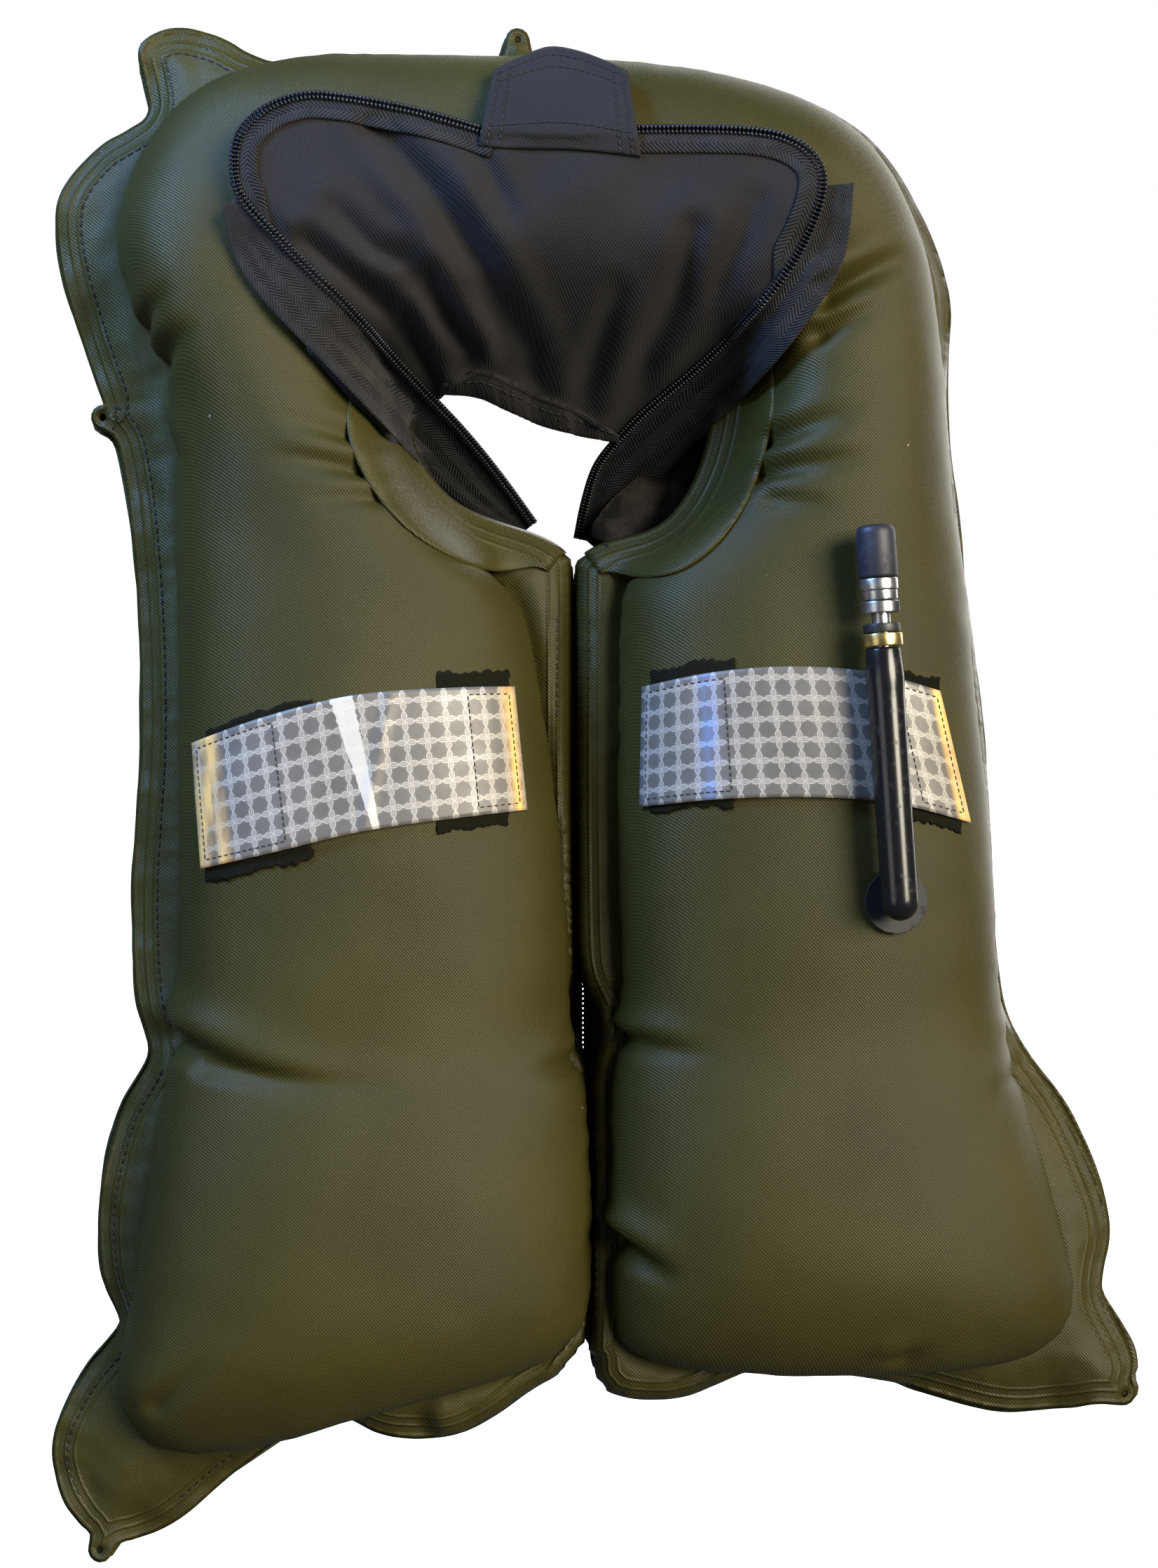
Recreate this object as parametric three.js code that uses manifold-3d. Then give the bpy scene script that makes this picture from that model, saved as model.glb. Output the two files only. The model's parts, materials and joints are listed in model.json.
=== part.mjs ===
// Inflatable life jacket, inflated and held upright by its collar.
// Millimetres, +Z up, the front of the jacket faces -Y. The origin is the middle of the collar hem.

import * as THREE from 'three';
import { mergeVertices } from 'three/addons/utils/BufferGeometryUtils.js';
import Module from 'manifold-3d';

const wasm = await Module();
wasm.setup();

// ---- driving dimensions -------------------------------------------------------------------

const GAP = 0.4; // air left between pieces that rest on each other

const FRONT_SEAM_Y = -40; // widest contour of the inflated cell
const FRONT_BULGE = 54; // from the seam plane to the front
const BACK_BULGE = 47; // from the seam plane to the back
const REAR_SEAM_Y = 25.5; // middle of the limp rear cell
const REAR_BULGE = 12.5;
const FLANGE_FRONT_Y = -13; // welded seam flange, behind the widest contour of the front cell
const FLANGE_THICKNESS = 2.2;
const FLANGE_TUCK = 0.05; // share of a rib's length that the flange reaches in behind its ends
const BACK_PANEL_Y = 39; // backing fabric behind the rear cell
const BACK_PANEL_THICKNESS = 2.2;
const BACK_PANEL_INSET = 4;

const TAB_RADIUS = 5; // round end of each locating tab
const TAB_HOLE_RADIUS = 1.6;
const TAB_REACH = 13; // from the hole to the root of the neck
const TAB_ROOT = 16; // width of the neck where it meets the flange

const TAPE_THICKNESS = 1.6; // retro-reflective tape, 50 wide
const TAPE_LIFT = 3.4; // from the cell to the back of a tape, over the patches
const PATCH_THICKNESS = 1;
const PATCH_LIFT = 1.3;

const CLOTH = 2; // collar cloth, as a solid
const ZIP_CHAIN_WIDTH = 5;
const ZIP_CHAIN_THICKNESS = 3;
const ZIP_TAPE_THICKNESS = 1.4;

const TUBE_RADIUS = 7; // oral inflation tube
const TUBE_FOOT = [120, -105.5, -196]; // centre of the elbow
const TUBE_LEAN = -0.066; // radians, towards the neck
const TUBE_LENGTH = 97;
const TUBE_BORE = 4;
const TUBE_FLOOR = 4;

const CYLINDER_RADIUS = 12.5; // carbon dioxide cylinder
const CYLINDER_LENGTH = 118;
const INFLATOR_Z = -246;
const INFLATOR_X = [-92, 96];

// ---- materials ----------------------------------------------------------------------------

const finish = (color, roughness, metalness = 0) =>
  new THREE.MeshStandardMaterial({ color, roughness, metalness });

const olive = finish(0x42442c, 0.62);
const black = finish(0x262224, 0.85);
const navy = finish(0x24283a, 0.85);
const silver = finish(0x9c9c9a, 0.3, 0.2);
const rubber = finish(0x16161a, 0.4);
const brass = finish(0xc8aa5a, 0.3, 1);
const nickel = finish(0xaaaaaf, 0.25, 1);
const steel = finish(0x8c9094, 0.35, 1);
const plastic = finish(0x1c1c1e, 0.5);
const red = finish(0x9a1f1a, 0.5);
const pile = finish(0x2a2320, 1);

const vest = new THREE.Group();

function add(name, geometry, material, parent = vest) {
  const mesh = new THREE.Mesh(geometry, material);
  mesh.name = name;
  parent.add(mesh);
  return mesh;
}

// ---- shape helpers ------------------------------------------------------------------------

// Joins rings of equally many points into one closed skin. Each end is closed by pairing the
// points of the first half of the ring with those of the second half.
function loft(rings) {
  const count = rings[0].length;
  const position = rings.flat().flatMap((p) => [p.x, p.y, p.z]);
  const index = [];
  const quad = (a, b, c, d) => index.push(a, b, c, a, c, d);
  for (let r = 0; r + 1 < rings.length; r += 1) {
    for (let i = 0; i < count; i += 1) {
      const next = (i + 1) % count;
      quad(r * count + i, r * count + next, (r + 1) * count + next, (r + 1) * count + i);
    }
  }
  const last = (rings.length - 1) * count;
  for (let i = 0; i + 1 < count / 2; i += 1) {
    const mate = count - 1 - i;
    quad(mate, mate - 1, i + 1, i);
    quad(last + i, last + i + 1, last + mate - 1, last + mate);
  }
  return faceOut(position, index);
}

// Turns every face over if the skin is inside out.
function faceOut(position, index) {
  const geometry = new THREE.BufferGeometry();
  geometry.setAttribute('position', new THREE.Float32BufferAttribute(position, 3));
  const corner = (i) => new THREE.Vector3().fromArray(position, 3 * i);
  let volume = 0;
  for (let i = 0; i < index.length; i += 3) {
    const [a, b, c] = [corner(index[i]), corner(index[i + 1]), corner(index[i + 2])];
    volume += a.dot(b.cross(c));
  }
  geometry.setIndex(volume < 0 ? index.reverse() : index);
  geometry.computeVertexNormals();
  return geometry;
}

function solid(geometry) {
  const bare = geometry.index ? geometry.clone() : geometry;
  bare.deleteAttribute('normal');
  bare.deleteAttribute('uv');
  const merged = mergeVertices(bare, 1e-4);
  const vertProperties = new Float32Array(merged.attributes.position.array);
  const triVerts = new Uint32Array(merged.index.array);
  return new wasm.Manifold(new wasm.Mesh({ numProp: 3, vertProperties, triVerts }));
}

function fromSolid(manifold) {
  const mesh = manifold.getMesh();
  const geometry = new THREE.BufferGeometry();
  geometry.setAttribute('position', new THREE.BufferAttribute(mesh.vertProperties, 3));
  geometry.setIndex(new THREE.BufferAttribute(mesh.triVerts, 1));
  geometry.computeVertexNormals();
  return geometry;
}

const cut = (base, ...tools) =>
  fromSolid(tools.reduce((left, tool) => left.subtract(solid(tool)), solid(base)));

const join = (base, ...others) =>
  fromSolid(others.reduce((sum, other) => sum.add(solid(other)), solid(base)));

// A flat plate from an outline in X and Z, its front face at frontY.
function plate(shape, frontY, thickness, curveSegments = 2) {
  const geometry = new THREE.ExtrudeGeometry(shape, {
    depth: thickness,
    bevelEnabled: false,
    curveSegments,
  });
  geometry.rotateX(Math.PI / 2);
  geometry.translate(0, frontY + thickness, 0);
  return geometry;
}

function smoothShape(points) {
  const corners = points.map(([x, z]) => new THREE.Vector3(x, z, 0));
  const curve = new THREE.CatmullRomCurve3(corners, true, 'catmullrom', 0.5);
  const samples = curve.getPoints(points.length * 2).slice(0, -1);
  return new THREE.Shape(samples.map((p) => new THREE.Vector2(p.x, p.y)));
}

// A round solid about local Z from a closed profile of [radius, height] points.
function turned(profile, segments = 18) {
  const points = profile.map(([radius, height]) => new THREE.Vector2(radius, height));
  const first = points[0];
  const onAxis = profile[0][0] === 0 && profile[profile.length - 1][0] === 0;
  if (!onAxis) points.push(first.clone());
  const geometry = new THREE.LatheGeometry(points, segments);
  geometry.rotateX(Math.PI / 2);
  const bare = mergeVertices(stripped(geometry), 1e-4);
  const kept = [];
  const index = bare.index.array;
  for (let i = 0; i < index.length; i += 3) {
    const [a, b, c] = [index[i], index[i + 1], index[i + 2]];
    if (a !== b && b !== c && a !== c) kept.push(a, b, c);
  }
  return faceOut(Array.from(bare.attributes.position.array), kept);
}

function stripped(geometry) {
  geometry.deleteAttribute('normal');
  geometry.deleteAttribute('uv');
  return geometry;
}

const ring = (inner, outer, low, high, segments) =>
  turned([[inner, low], [outer, low], [outer, high], [inner, high]], segments);

const rod = (radius, low, high, segments) =>
  turned([[0, low], [radius, low], [radius, high], [0, high]], segments);

const box = (x, y, z, width, depth, height) => {
  const geometry = new THREE.BoxGeometry(width, depth, height);
  geometry.translate(x, y, z);
  return geometry;
};

// A round solid about local Y, from its front face at low back to high.
const facingBack = (geometry) => {
  geometry.rotateX(-Math.PI / 2);
  return geometry;
};
// A round solid about local X.
const sideways = (geometry) => {
  geometry.rotateY(Math.PI / 2);
  return geometry;
};

// ---- the two cells ------------------------------------------------------------------------

// Each rib of a cell: outer x, outer z, inner x, inner z, fullness. Ribs run from the foot of
// the left lobe, over the nape, to the foot of the right lobe.
const FRONT_RIBS = [
  [-101, -404, -92, -402, 0.1],
  [-150, -419, -46, -388, 0.42],
  [-181, -411, -12, -381, 0.62],
  [-189, -391, 3, -367, 0.84],
  [-182, -362, 5, -340, 0.97],
  [-177, -322, 5, -300, 1],
  [-170, -284, 3, -272, 0.97],
  [-167, -262, -5, -250, 0.9],
  [-163, -228, -3, -222, 0.97],
  [-162, -165, -8, -165, 1],
  [-163, -105, -17, -104, 1],
  [-164, -50, -25, -74, 1],
  [-164, -12, -44, -61, 0.98],
  [-169, 22, -65, -38, 0.98],
  [-182, 45, -80, -10, 0.98],
  [-187, 72, -86, 10, 1],
  [-177, 100, -82, 25, 1],
  [-157, 126, -69, 32, 1],
  [-125, 138, -52, 34, 1],
  [-80, 141, -32, 35, 1],
  [-20, 139, -10, 35, 1],
  [30, 136, 14, 34, 1],
  [80, 127, 36, 33, 1],
  [116, 104, 54, 30, 1],
  [133, 72, 66, 24, 1],
  [141, 42, 70, 10, 0.98],
  [144, 5, 67, -8, 0.98],
  [146, -28, 60, -30, 0.98],
  [151, -60, 36, -53, 0.98],
  [155, -88, 15, -68, 1],
  [158, -118, 13, -98, 1],
  [163, -170, 12, -155, 1],
  [166, -218, 13, -212, 1],
  [168, -246, 13, -250, 0.92],
  [175, -270, 9, -274, 0.97],
  [187, -310, 9, -312, 1],
  [195, -338, 9, -340, 0.96],
  [198, -358, 10, -362, 0.84],
  [186, -377, 16, -378, 0.62],
  [150, -383, 46, -384, 0.42],
  [108, -383, 98, -384, 0.1],
];

const REAR_RIBS = [
  [-112, -407, -104, -406, 0.1],
  [-165, -432, -60, -402, 0.6],
  [-196, -430, -24, -392, 0.8],
  [-205, -411, -9, -374, 0.9],
  [-192, -384, -7, -350, 1],
  [-188, -340, -7, -310, 1],
  [-180, -288, -9, -272, 1],
  [-170, -262, -13, -250, 0.9],
  [-173, -220, -14, -216, 1],
  [-171, -140, -15, -140, 1],
  [-173, -70, -17, -78, 1],
  [-178, -25, -36, -60, 1],
  [-187, 8, -58, -46, 1],
  [-196, 40, -76, -20, 1],
  [-205, 72, -90, 6, 1],
  [-196, 100, -88, 24, 1],
  [-172, 124, -74, 36, 1],
  [-130, 135, -54, 40, 1],
  [-70, 136, -30, 41, 1],
  [0, 136, -2, 41, 1],
  [60, 129, 28, 40, 1],
  [104, 110, 52, 36, 1],
  [126, 76, 68, 28, 1],
  [134, 42, 74, 12, 1],
  [136, 6, 72, -10, 1],
  [143, -35, 62, -34, 1],
  [150, -75, 40, -57, 1],
  [155, -115, 10, -82, 1],
  [160, -180, 9, -160, 1],
  [164, -236, 11, -236, 0.9],
  [180, -272, 14, -270, 1],
  [199, -312, 14, -312, 1],
  [203, -350, 14, -348, 1],
  [210, -378, 16, -376, 0.9],
  [190, -393, 34, -390, 0.8],
  [152, -394, 66, -390, 0.6],
  [114, -390, 106, -390, 0.1],
];

// A puffed horseshoe: ribs in X and Z with a rounded section in Y.
function cell(ribs, seamY, frontBulge, backBulge, stations, sides) {
  const curve = (xAt, zAt) =>
    new THREE.CatmullRomCurve3(ribs.map((rib) => new THREE.Vector3(rib[xAt], rib[4], rib[zAt])));
  const outer = curve(0, 1);
  const inner = curve(2, 3);
  const flatness = 0.86; // below 1 the section is fuller than an ellipse
  const rings = [];
  for (let s = 0; s < stations; s += 1) {
    const o = outer.getPoint(s / (stations - 1));
    const i = inner.getPoint(s / (stations - 1));
    const middle = o.clone().add(i).multiplyScalar(0.5);
    const half = o.clone().sub(i).multiplyScalar(0.5);
    const points = [];
    for (let k = 0; k < sides; k += 1) {
      const angle = ((k + 0.5) / sides) * 2 * Math.PI;
      const across = Math.sign(Math.cos(angle)) * Math.abs(Math.cos(angle)) ** flatness;
      const depth = Math.sign(Math.sin(angle)) * Math.abs(Math.sin(angle)) ** flatness;
      const bulge = depth > 0 ? frontBulge : backBulge;
      points.push(
        new THREE.Vector3(
          middle.x + half.x * across,
          seamY - depth * bulge * middle.y,
          middle.z + half.z * across,
        ),
      );
    }
    rings.push(points);
  }
  return loft(rings);
}

const frontSkin = cell(FRONT_RIBS, FRONT_SEAM_Y, FRONT_BULGE, BACK_BULGE, 60, 16);
const frontCell = add('front_cell', frontSkin, olive);
const rearSkin = cell(REAR_RIBS, REAR_SEAM_Y, REAR_BULGE, REAR_BULGE, 48, 10);
add('rear_cell', rearSkin, olive);

// The front of the inflated cell at a point in X and Z, or undefined beside it.
frontCell.updateMatrixWorld();
const ray = new THREE.Raycaster();
function cellFront(x, z) {
  ray.set(new THREE.Vector3(x, -400, z), new THREE.Vector3(0, 1, 0));
  const hits = ray.intersectObject(frontCell);
  return hits.length > 0 ? hits[0].point.y : undefined;
}

// ---- seam flange, locating tabs and backing -----------------------------------------------

// Outline of the welded flange, clockwise from the top of the slit on its left side.
const OUTLINE = [
  [-6, -66], [-6, -150], [-5, -228], [0, -262], [1, -330], [-1, -384],
  [-21, -400], [-50, -419], [-84, -419], [-104, -409], [-130, -424], [-150, -440],
  [-172, -458], [-197, -463], [-214, -446], [-219, -420], [-205, -392], [-190, -374],
  [-197, -358], [-200, -325], [-190, -284], [-177, -263], [-184, -240], [-186, -190],
  [-182, -135], [-184, -68], [-190, -18], [-203, 20], [-214, 56], [-217, 88],
  [-200, 112], [-178, 124], [-184, 150], [-168, 161], [-146, 155], [-126, 145],
  [-70, 147], [0, 146], [60, 140], [110, 122], [137, 88], [152, 48],
  [149, 8], [156, -58], [164, -120], [169, -190], [172, -244], [196, -280],
  [214, -318], [217, -340], [213, -360], [226, -384], [221, -402], [176, -410],
  [132, -398], [104, -394], [74, -390], [42, -404], [10, -402], [4, -384],
  [5, -330], [4, -262], [-1, -228], [-2, -150], [-2, -66],
];

// Neckline of the flange, from the right side of the slit round to its left side.
const NECKLINE = [
  [2, -55], [16, -51], [33, -47], [47, -28], [54, -4], [55, 16], [44, 26],
  [0, 29], [-48, 27], [-64, 18], [-73, -2], [-69, -18], [-54, -37], [-32, -46], [-12, -52],
];

// Draws the outline moved inwards by inset, with the open neck and slit.
function vestShape(inset) {
  const points = [...OUTLINE, ...NECKLINE];
  const moved = points.map(([x, z], i) => {
    const [ax, az] = points[(i + points.length - 1) % points.length];
    const [bx, bz] = points[(i + 1) % points.length];
    const length = Math.hypot(bx - ax, bz - az);
    return [x + (inset * (bz - az)) / length, z - (inset * (bx - ax)) / length];
  });
  return smoothShape(moved);
}

// The open middle of the flange, through which the front cell bulges.
const between = (ax, az, bx, bz, share) => [ax + (bx - ax) * share, az + (bz - az) * share];
const windowRibs = FRONT_RIBS.slice(1, -1);
const windowShape = smoothShape([
  ...windowRibs.map(([x, z, ix, iz]) => between(x, z, ix, iz, FLANGE_TUCK)),
  ...windowRibs.map(([x, z, ix, iz]) => between(ix, iz, x, z, FLANGE_TUCK)).reverse(),
]);

// A locating tab: a round end on a short neck that widens into the flange.
function tab(x, z, heading) {
  const shape = new THREE.Shape();
  shape.moveTo(-TAB_ROOT / 2, -TAB_REACH);
  shape.lineTo(-TAB_RADIUS, 0);
  shape.absarc(0, 0, TAB_RADIUS, Math.PI, 0, true);
  shape.lineTo(TAB_ROOT / 2, -TAB_REACH);
  shape.closePath();
  const geometry = plate(shape, FLANGE_FRONT_Y, FLANGE_THICKNESS, 10);
  geometry.rotateY(heading);
  geometry.translate(x, 0, z);
  return geometry;
}

function tabHole(x, z) {
  const shape = new THREE.Shape();
  shape.absarc(0, 0, TAB_HOLE_RADIUS, 0, 2 * Math.PI, false);
  const geometry = plate(shape, FLANGE_FRONT_Y - 1, FLANGE_THICKNESS + 2, 10);
  geometry.translate(x, 0, z);
  return geometry;
}

// Hole x, hole z, and the turn of the tab from pointing up, about Y.
const TABS = [
  [-27, 155, 0],
  [-198, 0, -1.35],
  [-199, -466, -2.75],
  [223, -402, 1.95],
];

const flangeSheet = plate(vestShape(0), FLANGE_FRONT_Y, FLANGE_THICKNESS);
const tabs = TABS.map(([x, z, turn]) => tab(x, z, turn));
const tabHoles = TABS.map(([x, z]) => tabHole(x, z));
const flangeWindow = plate(windowShape, FLANGE_FRONT_Y - 1, FLANGE_THICKNESS + 2);
add('seam_flange', cut(join(flangeSheet, ...tabs), flangeWindow, ...tabHoles), olive);

add('back_panel', plate(vestShape(BACK_PANEL_INSET), BACK_PANEL_Y, BACK_PANEL_THICKNESS), navy);

// ---- pieces that lie on the inflated cell -------------------------------------------------

const SKIN_LIFT = 1.4; // from the cell to the back of a piece that lies on it

// The collar leaves the nape and dips back through the neck opening, lower points further back.
const NECK_DIP_TOP = 70;
const NECK_DIP_HEIGHT = 130;
const NECK_DIP_FRONT = -97;
const NECK_DIP_DEPTH = 115;
function neckDip(z) {
  const share = THREE.MathUtils.smoothstep(NECK_DIP_TOP - z, 0, NECK_DIP_HEIGHT);
  return NECK_DIP_FRONT + NECK_DIP_DEPTH * share;
}

// Cloth bridges the steep side of the cell, so it follows the frontmost point close around.
const BRIDGE = 5;
function drapeY(x, z) {
  let front = neckDip(z);
  for (const dx of [-BRIDGE, 0, BRIDGE]) {
    for (const dz of [-BRIDGE, 0, BRIDGE]) {
      front = Math.min(front, cellFront(x + dx, z + dz) ?? Infinity);
    }
  }
  return front;
}

const onCellY = (x, z) => cellFront(x, z) ?? FRONT_SEAM_Y;

const lineOf = (points) =>
  new THREE.CatmullRomCurve3(points.map(([x, z]) => new THREE.Vector3(x, 0, z)));

// A skin between two edge lines in X and Z. Its back is lift in front of surfaceY.
function skin(edgeA, edgeB, { surfaceY, lift = SKIN_LIFT, thickness, along, across }) {
  const a = lineOf(edgeA);
  const b = lineOf(edgeB);
  const rings = [];
  for (let s = 0; s <= along; s += 1) {
    const from = a.getPoint(s / along);
    const to = b.getPoint(s / along);
    const back = [];
    for (let k = 0; k <= across; k += 1) {
      const p = from.clone().lerp(to, k / across);
      p.y = surfaceY(p.x, p.z) - lift;
      back.push(p);
    }
    const front = back.map((p) => new THREE.Vector3(p.x, p.y - thickness, p.z));
    rings.push([...front, ...back.reverse()]);
  }
  return loft(rings);
}

// A round disc on the cell.
function disc(x, z, radius, { lift, thickness, steps }) {
  const low = [];
  const high = [];
  for (let s = 0; s <= steps; s += 1) {
    const angle = Math.PI * (0.04 + (0.92 * s) / steps);
    low.push([x - radius * Math.cos(angle), z - radius * Math.sin(angle)]);
    high.push([x - radius * Math.cos(angle), z + radius * Math.sin(angle)]);
  }
  return skin(low, high, { surfaceY: onCellY, lift, thickness, along: steps, across: 3 });
}

// ---- collar and its zipper ----------------------------------------------------------------

// Rows across the collar panel: its top edge and its bottom edge.
const COLLAR_TOP = [
  [-128, 87], [-122, 100], [-106, 107], [-88, 106], [-64, 101], [-36, 95],
  [-8, 95], [21, 94], [46, 94], [66, 92], [79, 87], [86, 80],
];
const COLLAR_BOTTOM = [
  [-127, 77], [-116, 64], [-100, 48], [-82, 31], [-61, 13], [-42, 12],
  [-17, 2.2], [6, -2.8], [27, 7], [52, 26], [72, 46], [84, 66],
];
const onCollar = { surfaceY: drapeY, lift: SKIN_LIFT + CLOTH + GAP };
const HEM_LIFT = 0.4; // the hem is turned over the panel's edge
const TAB_LIFT = 5.4; // the tab bridges the edge of the panel below it
add(
  'collar_panel',
  skin(COLLAR_TOP, COLLAR_BOTTOM, { surfaceY: drapeY, thickness: CLOTH, along: 22, across: 8 }),
  black,
);
add(
  'collar_hem',
  skin(
    [[-54, 11.6], [-42, 11], [-33, 7], [-17, 0.8], [-5, -2.4], [8, -4.6]],
    [[-51, 5], [-42, 4], [-33, 0], [-17, -6], [-5, -9], [9, -11]],
    { surfaceY: drapeY, lift: HEM_LIFT, thickness: 2 * CLOTH, along: 8, across: 2 },
  ),
  black,
);
add(
  'collar_tab',
  skin(
    [[-34, 120], [-23, 125], [-12, 129], [4, 125], [17, 119]],
    [[-40, 91], [-25, 90], [-10, 90], [6, 89], [22, 87]],
    { ...onCollar, lift: TAB_LIFT, thickness: CLOTH, along: 6, across: 6 },
  ),
  black,
);

// Centre lines of the zipper chain on each side, from the tab down into the neck opening.
const CHAIN_LEFT = [
  [-43, 99], [-64, 105], [-91, 110], [-106, 111], [-121, 106], [-131, 96], [-133, 85],
  [-131, 73], [-120, 61], [-104, 45], [-86, 28], [-68, 10], [-49, -8], [-34, -25], [-21, -42],
];
const CHAIN_RIGHT = [
  [26, 98], [48, 98], [73, 96], [84, 91], [90, 84], [91, 75], [85, 57],
  [74, 40], [60, 26], [43, 12], [25, -1], [14, -11], [6, -20], [1, -34], [-2, -48],
];

// Moves a line in X and Z sideways, to its left.
const beside = (line, distance) => {
  const curve = lineOf(line);
  return line.map(([x, z], i) => {
    const way = curve.getTangent(i / (line.length - 1));
    return [x - way.z * distance, z + way.x * distance];
  });
};
const chain = (line) =>
  skin(beside(line, ZIP_CHAIN_WIDTH / 2), beside(line, -ZIP_CHAIN_WIDTH / 2), {
    surfaceY: drapeY,
    lift: SKIN_LIFT,
    thickness: ZIP_CHAIN_THICKNESS,
    along: 36,
    across: 1,
  });
add('zip_chain_left', chain(CHAIN_LEFT), black);
add('zip_chain_right', chain(CHAIN_RIGHT), black);

const tapeSkin = { surfaceY: drapeY, thickness: ZIP_TAPE_THICKNESS };
add(
  'zip_tape_left',
  skin(
    [[-134.5, 71], [-123, 58], [-107, 42], [-89, 25], [-71, 7], [-52, -11], [-37, -29], [-25, -43]],
    [[-138, 69], [-133, 49], [-119, 30], [-101, 12], [-83, -6], [-64, -24], [-48, -36], [-31, -44]],
    { ...tapeSkin, along: 16, across: 3 },
  ),
  black,
);
add(
  'zip_tape_right',
  skin(
    [[94.5, 77], [89, 57], [77, 39], [63, 24], [46, 9], [28, -4], [17, -14], [9.5, -22], [4.5, -35]],
    [[103, 78], [100, 50], [89, 30], [75, 13], [57, -3], [39, -18], [27, -30], [19, -37], [13, -42]],
    { ...tapeSkin, along: 18, across: 3 },
  ),
  black,
);
add(
  'zip_inner_tape_left',
  skin(
    [[-121, 98], [-106, 106], [-88, 105], [-64, 100], [-44, 95]],
    [[-115, 92], [-104, 98], [-87, 97], [-63, 92], [-43, 87]],
    { ...onCollar, thickness: ZIP_TAPE_THICKNESS, along: 10, across: 1 },
  ),
  black,
);
add(
  'zip_inner_tape_right',
  skin(
    [[27, 93.5], [46, 93.5], [66, 91], [79, 86]],
    [[27, 85], [46, 85], [64, 83], [74, 79]],
    { ...onCollar, thickness: ZIP_TAPE_THICKNESS, along: 8, across: 1 },
  ),
  black,
);

// ---- reflective tapes ---------------------------------------------------------------------

const tapeOnCell = { surfaceY: onCellY, thickness: TAPE_THICKNESS, lift: TAPE_LIFT, across: 3 };
add(
  'reflective_tape_left',
  skin(
    [[-153, -135], [-122, -125], [-88, -117], [-52, -114], [-27, -113]],
    [[-149, -184], [-118, -177], [-84, -169], [-48, -164], [-22, -161]],
    { ...tapeOnCell, along: 16 },
  ),
  silver,
);
add(
  'reflective_tape_right',
  skin(
    [[23, -113], [50, -108], [80, -106], [110, -108], [138, -115]],
    [[22, -160], [50, -157], [83, -156], [117, -158], [151, -166]],
    { ...tapeOnCell, along: 16 },
  ),
  silver,
);

// Name, left x, right x, top z and bottom z of each glued patch under a tape end.
const PATCHES = [
  ['tape_patch_left_outer', -147, -104, -122, -192],
  ['tape_patch_left_inner', -56, -29, -105, -168],
  ['tape_patch_right_inner', 26, 58, -101, -168],
  ['tape_patch_right_outer', 118, 147, -104, -172],
];
PATCHES.forEach(([name, left, right, top, bottom]) => {
  const high = [[left, top], [(left + right) / 2, top], [right, top]];
  const low = high.map(([x]) => [x, bottom]);
  const size = { surfaceY: onCellY, lift: PATCH_LIFT, thickness: PATCH_THICKNESS, along: 5, across: 6 };
  add(name, skin(high, low, size), black);
});

// ---- oral inflation tube ------------------------------------------------------------------

const [FOOT_X, FOOT_Y, FOOT_Z] = TUBE_FOOT;
const ORAL_DISC = { lift: 1.2, thickness: 2.2, steps: 8 };
add('oral_flange', disc(FOOT_X, FOOT_Z, 12.5, ORAL_DISC), rubber);

const elbow = facingBack(rod(5, 0, 2.2, 20));
elbow.translate(FOOT_X, FOOT_Y + TUBE_RADIUS + GAP, FOOT_Z);
add('oral_elbow', elbow, rubber);

const oral = new THREE.Group();
oral.position.set(...TUBE_FOOT);
oral.rotation.y = TUBE_LEAN;
vest.add(oral);

// Profile of the rubber tube: a round foot, a slim swelling and an open top.
const footArc = [0, 0.25, 0.5, 0.75, 1].map((share) => {
  const angle = (share * Math.PI) / 2;
  return [TUBE_RADIUS * Math.sin(angle), -TUBE_RADIUS * Math.cos(angle)];
});
add(
  'oral_tube',
  turned([
    ...footArc,
    [TUBE_RADIUS, TUBE_LENGTH - 18],
    [TUBE_RADIUS + 0.4, TUBE_LENGTH - 12],
    [TUBE_RADIUS - 0.4, TUBE_LENGTH],
    [TUBE_BORE, TUBE_LENGTH],
    [TUBE_BORE, TUBE_FLOOR],
    [0, TUBE_FLOOR],
  ]),
  rubber,
  oral,
);

const CLAMP_Z = TUBE_LENGTH + GAP;
const CLAMP_HEIGHT = 4.8;
const FERRULE_Z = CLAMP_Z + CLAMP_HEIGHT + GAP;
const COLLAR_BORE = 4.4; // clear of the neck inside
const NECK_Z = FERRULE_Z + 3.4;
const NECK_FOOT = TUBE_LENGTH - 14;
const NECK_TRAVEL = 3.5; // how far the mouthpiece is pressed in
const RING_Z = NECK_Z + NECK_TRAVEL + GAP;
const RING_HEIGHT = 4.6;
const BAND_Z = RING_Z + RING_HEIGHT + GAP;
const HOUSING_TOP = BAND_Z + 8.2;
const SPIGOT_TOP = HOUSING_TOP + 12; // spigot that the mouthpiece is pushed over
const MOUTH_Z = HOUSING_TOP + GAP;
const MOUTH_HEIGHT = 20;

add('tube_clamp', ring(COLLAR_BORE, 7.7, CLAMP_Z, CLAMP_Z + CLAMP_HEIGHT, 20), brass, oral);
add('valve_ferrule', ring(COLLAR_BORE, 7.1, FERRULE_Z, NECK_Z, 20), plastic, oral);
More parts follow.
